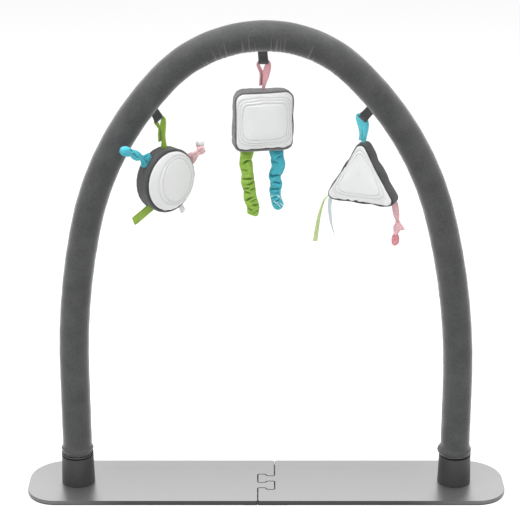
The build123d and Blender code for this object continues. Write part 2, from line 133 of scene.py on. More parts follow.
def relief(material, height, depth):
    """Bump from a height of 0 to 1, depth metres deep."""
    bump = node(material, "ShaderNodeBump", {"Height": height, "Distance": depth, "Strength": 1.0})
    feed(material, "Normal", bump.outputs["Normal"])


def coat(node_name, material):
    """Give a solid of the frame its finish."""
    nodes[node_name].data.materials.clear()
    nodes[node_name].data.materials.append(material)
    nodes[node_name].data.shade_smooth()


SHADED_EDGE_TONE, SILVER_TOP_TONE = (0.066, 0.066, 0.066), (0.576, 0.576, 0.576)
PLATE_ENDS = 0.2, 0.34
PLATE_FRONT, PLATE_BACK = -0.063, 0.04
FACING_UP = 0.9, 0.99
silver = finish("silver_powder_coat", Metallic=0.92)
facing = node(silver, "ShaderNodeNewGeometry").outputs["True Normal"]
# Faces that do not face up get the dark edge tone as painted shade, darkest near the seam.
upward = split(silver, facing)["Z"]
place = split(silver, own_place(silver))
from_seam = maths(silver, "ABSOLUTE", place["X"])
# Painted reflection: the edges lighten towards the ends, and the top towards the front and the ends.
edge_painted_reflection = spread(silver, from_seam, 0, 0.25, *PLATE_ENDS)
front_painted_reflection = spread(silver, place["Y"], 0.94, 0.81, PLATE_FRONT, PLATE_BACK)
end_painted_reflection = spread(silver, from_seam, 0, 0.13, *PLATE_ENDS)
top_painted_reflection = maths(silver, "ADD", front_painted_reflection, end_painted_reflection)
painted_light_share = spread(silver, upward, edge_painted_reflection, top_painted_reflection, *FACING_UP)
feed(silver, "Base Color", shades(silver, painted_light_share, SHADED_EDGE_TONE, SILVER_TOP_TONE))
feed(silver, "Roughness", spread(silver, speckle(silver, 60), 0.3, 0.36))
relief(silver, speckle(silver, 900), 0.00004)
for side in ("left", "right"):
    coat(f"base_plate_{side}", silver)


# Grip mats: 2 mm sheets of black rubber that keep the base from sliding. They are cut along the same
# seam as the plates, a millimetre short of their outline, and glued on from below.

rubber = finish("grip_rubber", Specular_IOR_Level=0.3)
feed(rubber, "Base Color", shades(
    rubber, speckle(rubber, 250), (0.035, 0.035, 0.036), (0.06, 0.06, 0.06)))
feed(rubber, "Roughness", spread(rubber, speckle(rubber, 400), 0.75, 0.9))
relief(rubber, speckle(rubber, 1500), 0.0002)
for side in ("left", "right"):
    coat(f"grip_mat_{side}", rubber)


# Cups: the tapered sockets that the arch stands in, moulded in charcoal plastic with a fine spark
# grain. Zinc plated screws hold them from below the plates.

charcoal = finish("charcoal_moulding")
feed(charcoal, "Base Color", shades(
    charcoal, speckle(charcoal, 120), (0.026, 0.027, 0.027), (0.038, 0.038, 0.038)))
feed(charcoal, "Roughness", spread(charcoal, speckle(charcoal, 300), 0.36, 0.48))
relief(charcoal, speckle(charcoal, 1800), 0.00006)
zinc = finish("zinc_plate", Metallic=1.0)
feed(zinc, "Base Color", shades(zinc, speckle(zinc, 700), (0.5, 0.5, 0.47), (0.66, 0.66, 0.64)))
feed(zinc, "Roughness", spread(zinc, speckle(zinc, 900), 0.3, 0.45))
for side in ("left", "right"):
    coat(f"socket_{side}", charcoal)
    coat(f"socket_screws_{side}", zinc)


# Arch plugs and core: a bent plastic rod carries the arch's shape, with a grey moulded plug on each
# end. The plugs push into the cups up to their collars.

# The plugs are a lighter grey than the cups: partly their own grey moulding, partly a painted highlight on
# the collar ring.
collar_grey_and_highlight = finish("collar_grey_moulding")
feed(collar_grey_and_highlight, "Base Color", shades(
    collar_grey_and_highlight, speckle(collar_grey_and_highlight, 200), (0.085, 0.085, 0.085), (0.12, 0.12, 0.12)))
feed(collar_grey_and_highlight, "Roughness", spread(collar_grey_and_highlight, speckle(collar_grey_and_highlight, 300), 0.35, 0.5))
relief(collar_grey_and_highlight, speckle(collar_grey_and_highlight, 1600), 0.00004)
for name in ("plug_left", "plug_right", "arch_core"):
    coat(name, collar_grey_and_highlight)


# Foam sleeve: a tube of grey closed-cell foam, cut to length and threaded over the rod. It fills the
# cover, which hides it.

foam = finish("grey_foam", Roughness=0.95, Specular_IOR_Level=0.1)
cells = node(foam, "ShaderNodeTexVoronoi", {"Vector": own_place(foam), "Scale": 700.0}).outputs["Distance"]
feed(foam, "Base Color", shades(foam, cells, (0.12, 0.12, 0.12), (0.24, 0.24, 0.24)))
relief(foam, cells, 0.0005)
coat("foam_sleeve", foam)


# Arch cover: a brushed jersey sleeve pulled over the foam. The inside of the crown is shorter than
# the outside, so the knit gathers into tucks there; their crests carry painted highlights. The left
# hem ends in a turned band above the collar, and the right one is pushed down over it in a roll.
# Black rings below both hems are painted shade, put where the gaps there are in shadow.

CUT = "Cut"


def put(name, data):
    """Object in the scene, from a mesh, a light or a camera."""
    piece = bpy.data.objects.new(name, data)
    bpy.context.scene.collection.objects.link(piece)
    return piece


def full_turn(count):
    """Angles once round, in even steps."""
    return np.linspace(0, 2 * pi, count, endpoint=False)


def skin(name, rows, loop=False, uv=None):
    """Closed mesh over rings of points: loop joins the last ring to the first, and otherwise both
    end rings are filled. The UV map is in metres round and along the rings."""
    rows = np.asarray(rows, float)
    count, across = rows.shape[:2]
    index = np.arange(count * across).reshape(count, across)
    below = np.roll(index, -1, 0) if loop else index[1:]
    above = index if loop else index[:-1]
    faces = np.stack([above, np.roll(above, -1, 1), np.roll(below, -1, 1), below], -1).reshape(-1, 4)
    steps = np.linalg.norm(np.roll(rows, -1, 1) - rows, axis=2).mean(0)
    strides = np.linalg.norm(np.roll(rows, -1, 0) - rows, axis=2).mean(1)
    round_at = np.concatenate([[0], np.cumsum(steps)])
    along_at = np.concatenate([[0], np.cumsum(strides)])
    i, j = np.meshgrid(np.arange(len(above)), np.arange(across), indexing="ij")
    corners = [(i, j), (i, j + 1), (i + 1, j + 1), (i + 1, j)]
    if uv is None:
        marks = np.stack([np.stack([round_at[b], along_at[a]], -1) for a, b in corners], 2)
    else:
        marks = np.stack([uv[a % count, b % across] for a, b in corners], 2)
    faces = faces.tolist()
    marks = marks.reshape(-1, 2)
    if not loop:
        faces.append(index[0, ::-1].tolist())
        faces.append(index[-1].tolist())
        flat = np.stack([round_at[:-1], np.zeros(across)], 1)
        ends = [flat, flat] if uv is None else [uv[0, ::-1], uv[-1]]
        marks = np.concatenate([marks, *ends])
    mesh = bpy.data.meshes.new(name)
    mesh.from_pydata(rows.reshape(-1, 3).tolist(), [], faces)
    mesh.uv_layers.new(name=CUT).uv.foreach_set("vector", marks.astype(np.float32).ravel())
    outward = bmesh.new()
    outward.from_mesh(mesh)
    bmesh.ops.recalc_face_normals(outward, faces=outward.faces)
    outward.to_mesh(mesh)
    outward.free()
    mesh.shade_smooth()
    return put(name, mesh)


def mark(piece, name, values):
    """Store a value at each point of a piece, for its finish to read."""
    stored = piece.data.attributes.new(name, "FLOAT", "POINT").data
    stored.foreach_set("value", values.astype(np.float32).ravel())


def tinted(material, colour, marks, tint, most):
    """Colour that turns into a tint where the piece's marks are high."""
    amount = node(material, "ShaderNodeAttribute", attribute_name=marks).outputs["Fac"]
    return shades(material, spread(material, amount, 0, most, 0.05, 1), colour, tint)


def cloth_place(material):
    """Place on the cloth as it was cut, in metres: X round the piece and Y along it."""
    return split(material, node(material, "ShaderNodeUVMap", uv_map=CUT).outputs["UV"])


def knit(material, wale, depth, fuzz=0.5):
    """Jersey: columns of V stitches, wale metres apart, under a fuzz of loose fibre."""
    def work(operation, first, second=0.0):
        return maths(material, operation, first, second)

    place = cloth_place(material)
    column = work("FRACT", work("DIVIDE", place["X"], wale))
    lean = work("ABSOLUTE", work("SUBTRACT", column, 0.5))
    course = work("DIVIDE", place["Y"], 0.75 * wale)
    wave = work("SINE", work("MULTIPLY", work("ADD", course, lean), 2 * pi))
    rib = work("SUBTRACT", 1.0, work("MULTIPLY", lean, 1.6))
    stitches = work("MULTIPLY", work("ADD", work("MULTIPLY", wave, 0.5), 0.5), rib)
    fibres = speckle(material, 1.2 / wale, 4.0)
    height = work("ADD", work("MULTIPLY", stitches, 1 - fuzz), work("MULTIPLY", fibres, fuzz))
    relief(material, height, depth)


LEG_X = (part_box("socket_right")[0].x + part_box("socket_right")[1].x) / 2
LEFT_FOOT_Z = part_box("plug_left")[1].z + 0.00015
RIGHT_FOOT_Z = 0.0528
SIDE_RADIUS, SHOULDER_RADIUS = 1.005, 0.44
LEFT_TURNS = radians(12.35), radians(31.2)
RIGHT_TURNS = radians(14.7), radians(32.1)
CROWN_X, CROWN_TOP_Z = -0.0014, 0.6683
COVER_RADIUS = 0.0205
COVER_BORE = 0.01945


def side_runs(leg_out, foot_z, side_turn, shoulder_turn):
    """Lengths and turns of one side of the arch's centre line, from foot to crown."""
    shoulder_end = side_turn + shoulder_turn
    side_in = SIDE_RADIUS * (1 - cos(side_turn))
    shoulder_centre = leg_out - side_in - SHOULDER_RADIUS * cos(side_turn)
    crown_radius = shoulder_centre / cos(shoulder_end) + SHOULDER_RADIUS
    shoulder_z = CROWN_TOP_Z - crown_radius + (crown_radius - SHOULDER_RADIUS) * sin(shoulder_end)
    straight_top = shoulder_z - (SIDE_RADIUS - SHOULDER_RADIUS) * sin(side_turn)
    crown_turn = pi / 2 - shoulder_end
    return [
        (straight_top - foot_z, 0), (SIDE_RADIUS * side_turn, side_turn),
        (SHOULDER_RADIUS * shoulder_turn, shoulder_turn), (crown_radius * crown_turn, crown_turn)]


left_runs = side_runs(LEG_X + CROWN_X, LEFT_FOOT_Z, *LEFT_TURNS)
right_runs = side_runs(LEG_X - CROWN_X, RIGHT_FOOT_Z, *RIGHT_TURNS)
arch_lengths, arch_turns = np.array(left_runs + right_runs[::-1]).T
ARCH_LENGTH = arch_lengths.sum()
CROWN_MIDDLE = arch_lengths[:4].sum()


def arch_line(distance):
    """Points and headings of the arch's centre line, at distances from the left foot."""
    marks = np.concatenate([[0], np.cumsum(arch_lengths)])
    headings = pi / 2 - np.concatenate([[0], np.cumsum(arch_turns)])
    fine = np.linspace(0, ARCH_LENGTH, 12000)
    heading = np.interp(fine, marks, headings)
    step = fine[1] - fine[0]
    middle = (heading[1:] + heading[:-1]) / 2
    x = -LEG_X + np.concatenate([[0], np.cumsum(np.cos(middle)) * step])
    z = LEFT_FOOT_Z + np.concatenate([[0], np.cumsum(np.sin(middle)) * step])
    return (np.interp(distance, fine, values) for values in (x, z, heading))


def cover_rings(distance, radius, angle):
    """Rings round the centre line; angle 0 is the outside of the arch, pi its inside."""
    x, z, heading = (values[:, None] for values in arch_line(distance))
    across, depth = radius * np.cos(angle), radius * np.sin(angle)
    return np.stack([x - np.sin(heading) * across, depth, z + np.cos(heading) * across], -1)


TUCK_REACH = 0.145
FIRST_TUCK, LAST_TUCK = CROWN_MIDDLE - 0.112, CROWN_MIDDLE + 0.118
LONG_TUCKS_END = 0.06
TUCK_STEP, HEM_STEP = 0.0005, 0.0006
fine_part = np.arange(-TUCK_REACH, TUCK_REACH, TUCK_STEP) + CROWN_MIDDLE
left_part = np.concatenate([
    [0, 0.0002], np.arange(HEM_STEP, 0.0196, HEM_STEP), np.linspace(0.02, fine_part[0] - 0.001, 170)])
right_part = np.concatenate([
    np.linspace(fine_part[-1] + 0.001, ARCH_LENGTH - 0.03, 170),
    np.arange(ARCH_LENGTH - 0.0294, ARCH_LENGTH - 0.0003, HEM_STEP), [ARCH_LENGTH - 0.0002, ARCH_LENGTH]])
distance = np.concatenate([left_part, fine_part, right_part])
turn = full_turn(96)
angle = turn + 0.4 * np.sin(turn)
inside = np.abs(angle - pi)
radius = np.full((len(distance), len(angle)), COVER_RADIUS)

draw = np.random.default_rng(11)
# Painted highlight: the crest of each tuck is marked so that the cover's colour is lightened there.
tuck_painted_highlight = np.zeros(radius.shape)
tuck = FIRST_TUCK
while tuck < LAST_TUCK:
    nearness = 1 - ((tuck - CROWN_MIDDLE) / 0.15) ** 2
    height = draw.uniform(0.0009, 0.0017) * nearness
    width = draw.uniform(0.0006, 0.0011)
    long_share = 0.4 if 0 < tuck - CROWN_MIDDLE < LONG_TUCKS_END else 0.2
    is_long = draw.random() < long_share
    degrees = draw.uniform(72, 120) if is_long else draw.uniform(34, 66)
    reach = radians(degrees) * (0.5 + 0.5 * nearness)
    slant = draw.uniform(-0.0025, 0.0025)
    fade = np.clip(1.15 - inside / reach, 0, 1)
    offset = distance[:, None] - tuck - slant * inside[None, :]
    ridge = np.exp(-(offset / width) ** 2)
    radius += height * (ridge - 0.35 * np.exp(-(offset / (2.6 * width)) ** 2)) * fade[None, :]
    tuck_painted_highlight = np.maximum(tuck_painted_highlight, ridge * fade[None, :] * draw.uniform(0.5, 1))
    tuck += draw.uniform(0.0015, 0.0042)

SEAM_RISE, SEAM_HALF_WIDTH = 0.0005, 0.0011
seam = np.exp(-(inside * COVER_RADIUS / SEAM_HALF_WIDTH) ** 2)
radius += SEAM_RISE * seam[None, :]
ripple = np.sin(distance * 61)[:, None] * np.sin(2 * angle)[None, :]
radius += 0.00015 * ripple + 0.0001 * np.sin(distance * 173)[:, None] * np.cos(3 * angle)[None, :]
left_hem = np.interp(
    distance, [0, 0.0006, 0.0018, 0.003, 0.0041, 0.0066, 0.0086, 0.0102, 0.013],
    [6, 12, 14, 7, 12, 23, 16, 3, 0]) * 1e-4
right_hem = np.interp(
    ARCH_LENGTH - distance, [0, 0.0008, 0.0025, 0.0048, 0.0068, 0.0088, 0.0108, 0.0128, 0.0165],
    [23, 27, 33, 38, 34, 21, 9, 3, 0]) * 1e-4
roll = 1 - 0.28 * np.cos(angle) + 0.08 * np.sin(3 * angle + 1)
radius += left_hem[:, None] + right_hem[:, None] * roll[None, :]
outer = cover_rings(distance, radius, angle[None, :])

LINING_ENDS, ROLL_BORE = 0.02, 0.0227
right_edge = ARCH_LENGTH - 0.004
lining_run = np.linspace(ARCH_LENGTH - LINING_ENDS, LINING_ENDS, 140)
inner_marks = np.concatenate([[right_edge], lining_run, [0.0004]])
inner_radius = np.where(inner_marks == right_edge, ROLL_BORE, COVER_BORE)
inner = cover_rings(inner_marks, np.repeat(inner_radius[:, None], len(angle), 1), angle[None, :])
cover = skin("arch_cover_knit", np.concatenate([outer, inner]), loop=True)
mark(cover, "tuck_crest", np.concatenate([tuck_painted_highlight, np.zeros(inner.shape[:2])]))

jersey = finish(
    "brushed_charcoal_jersey", Roughness=0.92, Specular_IOR_Level=0.15, Sheen_Weight=0.9,
    Sheen_Roughness=0.37, Sheen_Tint=(1, 1, 1, 1))
mottle = maths(jersey, "ADD", speckle(jersey, 420, 5.0), speckle(jersey, 40))
mottle = spread(jersey, mottle, 0, 1, 0.7, 1.3)
charcoal_knit = shades(jersey, mottle, (0.0685, 0.0695, 0.0695), (0.1, 0.101, 0.101))
# The tuck crests are tinted light grey as painted highlights.
feed(jersey, "Base Color", tinted(jersey, charcoal_knit, "tuck_crest", (0.4, 0.4, 0.4), 0.7))
knit(jersey, 0.0012, 0.0003, 0.7)
cover.data.materials.append(jersey)
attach(cover, "arch")
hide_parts("arch_cover")

# Painted shade: black rings put in the gaps below the hems and above the cup rims, where there is only
# shadow.
black_gap_shade = finish("black_elastic", Roughness=0.9, Specular_IOR_Level=0.1)
feed(black_gap_shade, "Base Color", shades(
    black_gap_shade, speckle(black_gap_shade, 900), (0.006, 0.006, 0.006), (0.014, 0.014, 0.014)))
SHADE_RING_HALF_THICK = 0.0007
section = full_turn(12)
for name, x, z, ring_radius, half_height in (
        ("left_collar_seal", -LEG_X, 0.0512, 0.022, 0.0013),
        ("left_hem_elastic", -LEG_X, 0.054, 0.0219, 0.0005),
        ("right_collar_seal", LEG_X, 0.0515, 0.0222, 0.0011)):
    out = ring_radius + SHADE_RING_HALF_THICK * np.cos(section)
    level = z + half_height * np.sin(section)
    rows = [np.stack([x + cos(turned) * out, sin(turned) * out, level], 1) for turned in full_turn(96)]
    ring = skin(name, rows, loop=True)
    ring.data.materials.append(black_gap_shade)
    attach(ring, "arch")


# Webbing loops: short lengths of charcoal webbing, folded into a loop and sewn to the inner seam of
# the cover with a bar of stitches.

def between(a, b, c, d, share):
    """Smooth curve from b to c, where a comes before them and d after."""
    bend = 2 * a - 5 * b + 4 * c - d
    return b + 0.5 * share * (c - a + share * (bend + share * (3 * (b - c) + d - a)))


def travelled(points):
    """Distance along a run of points, at each of them."""
    return np.concatenate([[0], np.cumsum(np.linalg.norm(np.diff(points, axis=0), axis=1))])


def rows_at(marks, travel, rows):
    """Rows of a run at given distances along it."""
    return np.stack([np.interp(marks, travel, column) for column in rows.T], 1)


def smooth(points, count):
    """Smooth run of count rows through the given ones, even along their first three columns."""
    points = np.asarray(points, float)
    padded = np.concatenate([[2 * points[0] - points[1]], points, [2 * points[-1] - points[-2]]])
    share = np.linspace(0, 1, 24, endpoint=False)[:, None]
    runs = [between(*four, share) for four in zip(padded, padded[1:], padded[2:], padded[3:])]
    run = np.concatenate([*runs, points[-1:]])
    travel = travelled(run[:, :3])
    return rows_at(np.linspace(0, travel[-1], count), travel, run)


def unit(vectors):
    return vectors / np.linalg.norm(vectors, axis=-1, keepdims=True)


def band(name, middle, side, width, thick, cup=0.0):
    """Flat band along a line: side points across it, and cup bows its middle out of its plane."""
    across = np.array([-1, -0.985, -0.93, -0.6, -0.2, 0.2, 0.6, 0.93, 0.985, 1])
    edge = np.array([0, 0.5, 1, 1, 1, 1, 1, 1, 0.5, 0])
    loop_across = np.concatenate([across, across[-2:0:-1]])
    loop_edge = np.concatenate([edge, -edge[-2:0:-1]])
    normal = unit(np.cross(np.gradient(middle, axis=0), side))
    width, cup = (np.broadcast_to(value, len(middle)) for value in (width, cup))
    lift = loop_edge[None, :] * thick / 2 + cup[:, None] * (1 - loop_across[None, :] ** 2)
    out = width[:, None] / 2 * loop_across[None, :]
    rows = middle[:, None, :] + side[:, None, :] * out[..., None]
    return skin(name, rows + normal[:, None, :] * lift[..., None])


def weave(material, thread, depth):
    """Plain weave of threads, thread metres apart."""
    place = cloth_place(material)
    waves = [maths(material, "SINE", maths(material, "MULTIPLY", place[axis], 2 * pi / thread))
             for axis in ("X", "Y")]
    height = spread(material, maths(material, "MULTIPLY", *waves), 0, 1, -1, 1)
    relief(material, height, depth)


WEBBING_WIDTH = 0.013
WEBBING_THICK = 0.0013
webbing = finish("charcoal_webbing", Roughness=0.85, Specular_IOR_Level=0.25, Sheen_Weight=0.15)
feed(webbing, "Base Color", shades(
    webbing, speckle(webbing, 900, 3.0), (0.074, 0.074, 0.075), (0.125, 0.125, 0.127)))
weave(webbing, 0.0011, 0.0003)

half_fold = [
    (0.0008, -0.0043), (0.0008, -0.001), (0.0008, 0.0025), (0.0012, 0.0045), (0.0024, 0.0065),
    (0.0036, 0.0085), (0.0034, 0.0105)]
LOOP_END = 0.01185
loop_hang = {
    "left": (-0.003, -0.0025, 0.0105), "middle": (0, 0.0013, 0.0155), "right": (-0.0027, 0, 0.0142)}
for place, (shift, drift, drop) in loop_hang.items():
    hinge = joints[f"{place}_loop_flap"]
    pivot = np.array(hinge["pos_m"])
    along = np.array(hinge["axis"])
    hang = np.array([along[2], 0, -along[0]])
    fold_points = [(y, 0, down) for y, down in half_fold] + [(0, 0, LOOP_END)]
    fold_points += [(-y, 0, down) for y, down in reversed(half_fold)]
    path = smooth(fold_points, 90)
    share = np.clip(path[:, 2] / LOOP_END, 0, 1)
    down = np.where(path[:, 2] > 0, path[:, 2] * (drop - WEBBING_THICK / 2) / LOOP_END, path[:, 2])
    middle = pivot + np.outer(shift + drift * share, along)
    middle = middle + np.outer(down, hang) + np.outer(path[:, 0], (0, 1, 0))
    side = np.repeat(along[None, :], len(middle), 0)
    loop = band(f"webbing_fold_{place}", middle, side, WEBBING_WIDTH, WEBBING_THICK)
    loop.data.materials.append(webbing)
    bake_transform(loop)
    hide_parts(f"webbing_loop_{place}")


# Ribbon straps: a soft ribbon threaded through each webbing loop. One end is sewn into the top of
# the toy, and the shorter end closes on it with a small hook and loop pad.

def woven(name, dark, light):
    """Soft ribbon in a fine plain weave."""
    material = finish(
        name, Roughness=0.8, Specular_IOR_Level=0.2, Sheen_Weight=0.25, Sheen_Roughness=0.4)
    feed(material, "Base Color", shades(material, speckle(material, 500, 3.0), dark, light))
    weave(material, 0.0006, 0.0002)
    return material


green_ribbon = woven("green_ribbon", (0.28, 0.45, 0.05), (0.41, 0.61, 0.1))
pink_ribbon = woven("pink_ribbon", (0.93, 0.42, 0.47), (0.98, 0.58, 0.62))
blue_ribbon = woven("blue_ribbon", (0.11, 0.63, 0.75), (0.2, 0.83, 0.92))
closure = finish("closure_tape", Roughness=0.95, Sheen_Weight=0.4)
feed(closure, "Base Color", shades(
    closure, speckle(closure, 1500, 3.0), (0.05, 0.05, 0.05), (0.11, 0.11, 0.11)))
relief(closure, speckle(closure, 2500, 2.0), 0.0005)

RIBBON_THICK = 0.0008
PAD_WIDTH, PAD_THICK, PAD_IN = 0.004, 0.0006, 0.0013
strap_runs = {
    "disc": ("left", green_ribbon, "green_ribbon", [
        (-1.2, -0.6, -2.5, 8.0, 0, 0.5), (-1.4, -0.6, 1.5, 8.4, 5, 0.6), (-1.6, -1.0, 9.5, 6.8, 15, 0.8),
        (-2.0, -1.2, 19, 6.4, 25, 0.6), (-2.3, -1.2, 29.4, 8.4, 10, 0.5), (-1.8, -1.0, 36, 8.0, 5, 0.3),
        (-1.6, -0.4, 41.5, 6.2, 15, 0), (-4.2, 0, 44.6, 5.6, 40, 0), (-7.4, 0, 42.6, 5.6, 50, 0),
        (-11.2, 0.4, 39.6, 6.0, 30, 0), (-11.6, 0.8, 36, 6.0, 35, 0), (-9.4, 1.2, 32.4, 6.2, 50, 0),
        (-7.4, 1.6, 27.4, 6.2, 66, 0), (-7.2, 1.8, 18.9, 6.4, 48, 0), (-7.1, 1.8, 9.0, 6.4, 54, 0)]),
    "square": ("middle", pink_ribbon, "pink_ribbon", [
        (0.5, -0.4, -3, 3.6, 0, 0.3), (0.8, -0.4, 1, 4.0, 0, 0.5), (1.5, -0.8, 5, 4.8, 5, 0.7),
        (2.6, -1.2, 10.6, 6.6, 8, 0.9), (4.1, -1.4, 18, 9.0, 8, 0.8), (5.2, -1.4, 24.4, 10.0, 5, 0.5),
        (6.6, -1.2, 30, 9.4, 5, 0.3), (7.6, -0.6, 34.6, 7.4, 15, 0), (6.4, 0, 38.6, 5.6, 35, 0),
        (1.2, 0, 39.2, 5.0, 45, 0), (-3.6, 0, 38.2, 5.0, 40, 0), (-6.2, 0.4, 34.8, 5.4, 40, 0),
        (-5.2, 0.8, 30.4, 6.0, 45, 0), (-3.2, 1.4, 26, 6.4, 50, 0), (-1.9, 2.0, 21.5, 6.8, 50, 0),
        (-2.0, 2.4, 12, 7.0, 48, 0), (-2.4, 2.4, 4.4, 7.0, 48, 0)]),
    "triangle": ("right", blue_ribbon, "blue_ribbon", [
        (4.0, -0.4, -3, 4.8, 0, 0.3), (4.0, -0.4, 0.5, 5.0, 0, 0.5), (4.7, -0.8, 6.8, 6.4, -5, 0.8),
        (5.6, -1.2, 13.8, 7.2, -8, 0.7), (6.3, -1.2, 20.4, 7.8, -8, 0.5),
        (6.6, -0.8, 25.4, 7.2, -12, 0.2),
        (6.0, -0.2, 29.6, 6.0, -30, 0), (2.6, 0, 33.4, 5.4, -45, 0), (-1.6, 0, 36.6, 5.4, -40, 0),
        (-5.0, 0.4, 36, 5.6, -30, 0), (-3.9, 0.8, 31.6, 7.6, -16, 0), (-1.2, 1.4, 26.4, 10.2, -8, 0.3),
        (-0.6, 1.8, 19.4, 8.0, -24, 0.3), (0, 2.4, 12.6, 7.4, -46, 0), (0, 2.8, 6.6, 7.0, -50, 0),
        (-1.0, 3.0, 0.8, 6.6, -46, 0)]),
}
for toy, (place, ribbon, slot, rows) in strap_runs.items():
    sewn = np.array(joints[f"{toy}_turn"]["pos_m"])
    run = smooth(np.array(rows) * (1e-3, 1e-3, 1e-3, 1e-3, 1, 1e-3), 130)
    middle = sewn + run[:, :3]
    flat = unit(np.cross(np.gradient(middle, axis=0) * (1, 0, 1), (0, 1, 0)))
    twist = np.radians(run[:, 4:5])
    side = flat * np.cos(twist) + np.array([0, 1, 0]) * np.sin(twist)
    strap = band(f"ribbon_strap_{toy}", middle, side, run[:, 3], RIBBON_THICK, run[:, 5])
    strap.data.materials.append(ribbon)
    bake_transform(strap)
    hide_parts(f"strap_{toy}")
    pad_rise = run[-1, 2] + np.linspace(0.001, 0.016, 16)
    strand_edge = np.interp(pad_rise, run[:45, 2], run[:45, 0] - run[:45, 3] / 2)
    pad_run = sewn + np.stack([strand_edge + PAD_IN, np.full(16, 0.0003), pad_rise], 1)
    pads = band(f"closure_{toy}", pad_run, np.repeat([[1.0, 0, 0]], 16, 0), PAD_WIDTH, PAD_THICK)
    pads.data.materials.append(closure)
    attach(pads, f"{toy}_strap")
    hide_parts(f"hook_pad_{toy}", f"loop_pad_{toy}")


# Stuffed toys: two quilted white jersey faces sewn to a grey gusset band and filled with fibre. The
# filling swells them between their seams, and the seams pucker a little where they are eased in.

GUSSET_DEPTH = 0.025
SEAM_TUCK = 0.0013
EASE_REACH = 0.006
FACE_LINING, GUSSET_LINING = 0.0014, 0.0016
QUILT_DITCH, QUILT_HALF_WIDTH = 0.0007, 0.0008
STITCH_LENGTH, THREAD_RADIUS = 0.0032, 0.00022
FACE_RINGS, GUSSET_RINGS, SPOKES = 12, 6, 108
FINER_RINGS, FINER_SPOKES = 5, 2
SIMULATION_SCALE, SETTLE_FRAMES, MOST_SWELL = 10, 20, 0.006
JERSEY_CLOTH = {
    "quality": 6, "mass": 0.25, "tension_stiffness": 12, "compression_stiffness": 12,
    "shear_stiffness": 4, "bending_stiffness": 0.3, "vertex_group_mass": "seams", "shrink_min": -0.02,
    "use_pressure": True, "uniform_pressure_force": 3.5}


def rounded_outline(corners, radius, draw_in):
    """Evenly spaced points round a polygon with rounded corners and sides drawn in between them."""
    corners = np.asarray(corners, float)
    back = unit(np.roll(corners, 1, 0) - corners)
    ahead = unit(np.roll(corners, -1, 0) - corners)
    half = np.arccos((back * ahead).sum(1)) / 2
    starts = corners + back * (radius / np.tan(half))[:, None]
    ends = corners + ahead * (radius / np.tan(half))[:, None]
    centres = corners + unit(back + ahead) * (radius / np.sin(half))[:, None]
    share = np.linspace(0, 1, 30)[:, None]
    run = []
    for start, end, centre, side_end in zip(starts, ends, centres, np.roll(starts, -1, 0)):
        first = np.arctan2(*(start - centre)[::-1])
        sweep = (np.arctan2(*(end - centre)[::-1]) - first + pi) % (2 * pi) - pi
        arc = first + sweep * share
        run.append(centre + radius * np.hstack([np.cos(arc), np.sin(arc)]))
        inward = -unit((end + side_end) / 2)
        drawn_in = inward * draw_in * 4 * share * (1 - share)
        run.append((end + share * (side_end - end) + drawn_in)[1:-1])
    run = np.concatenate([*run, run[0][:1]])
    travel = travelled(run)
    return rows_at(np.linspace(0, travel[-1], SPOKES, endpoint=False), travel, run)


def swell(rings, seams):
    """Blow up a shell of rings with its seams held; its first and last rings are single points."""
    start = rings * SIMULATION_SCALE
    points = np.concatenate([start[0, :1], start[1:-1].reshape(-1, 3), start[-1, :1]])
    index = 1 + np.arange((len(rings) - 2) * SPOKES).reshape(-1, SPOKES)
    around = np.roll(index, -1, 1)
    faces = np.stack([index[:-1], index[1:], around[1:], around[:-1]], -1).reshape(-1, 4).tolist()
    faces += [[0, a, b] for a, b in zip(index[0], around[0])]
    faces += [[len(points) - 1, b, a] for a, b in zip(index[-1], around[-1])]
    mesh = bpy.data.meshes.new("shell")
    mesh.from_pydata(points.tolist(), [], faces)
    shell = put("shell", mesh)
    held = shell.vertex_groups.new(name=JERSEY_CLOTH["vertex_group_mass"])
    for seam in seams:
        held.add(index[seam - 1].tolist(), 1.0, "REPLACE")
    cloth = shell.modifiers.new("Cloth", "CLOTH")
    for setting, value in JERSEY_CLOTH.items():
        setattr(cloth.settings, setting, value)
    cloth.settings.effector_weights.gravity = 0
    cloth.point_cache.frame_start = 1
    cloth.point_cache.frame_end = SETTLE_FRAMES
    for moment in range(1, SETTLE_FRAMES + 1):
        bpy.context.scene.frame_set(moment)
    settled = shell.evaluated_get(bpy.context.evaluated_depsgraph_get()).data
    found = np.zeros(len(points) * 3)
    settled.vertices.foreach_get("co", found)
    found = found.reshape(-1, 3) / SIMULATION_SCALE
    bpy.data.objects.remove(shell)
    bpy.context.scene.frame_set(1)
    swollen = rings.copy()
    swollen[0], swollen[-1] = found[0], found[-1]
    swollen[1:-1] = found[1:-1].reshape(-1, SPOKES, 3)
    move = swollen - rings
    far = np.linalg.norm(move, axis=2, keepdims=True)
    move = move * np.minimum(1, MOST_SWELL / np.maximum(far, 1e-9))
    for _ in range(12):
        move = (np.roll(move, 1, 1) + 2 * move + np.roll(move, -1, 1)) / 4
    out = np.abs(rings[..., :2]).max(2)
    middling = np.clip(1.5 - 2.5 * out / out.max(), 0, 1)[..., None]
    return rings + move * (1 - middling) + move.mean(1, keepdims=True) * middling


def finer(rings, along, around, pole=False):
    """More rings and spokes on a smooth surface through the given ones."""
    before = np.roll(rings[1], SPOKES // 2, 0) if pole else 2 * rings[0] - rings[1]
    grid = np.concatenate([before[None], rings, (2 * rings[-1] - rings[-2])[None]])

    def filled_in(grid, steps):
        share = (np.arange(steps) / steps)[None, :, None, None]
        four = (part[:, None] for part in (grid[:-3], grid[1:-2], grid[2:-1], grid[3:]))
        return between(*four, share).reshape(-1, *grid.shape[1:])

    grid = np.concatenate([filled_in(grid, along), rings[-1:]])
    turned = grid.swapaxes(0, 1)
    turned = np.concatenate([turned[-1:], turned, turned[:2]])
    return filled_in(turned, around).swapaxes(0, 1)


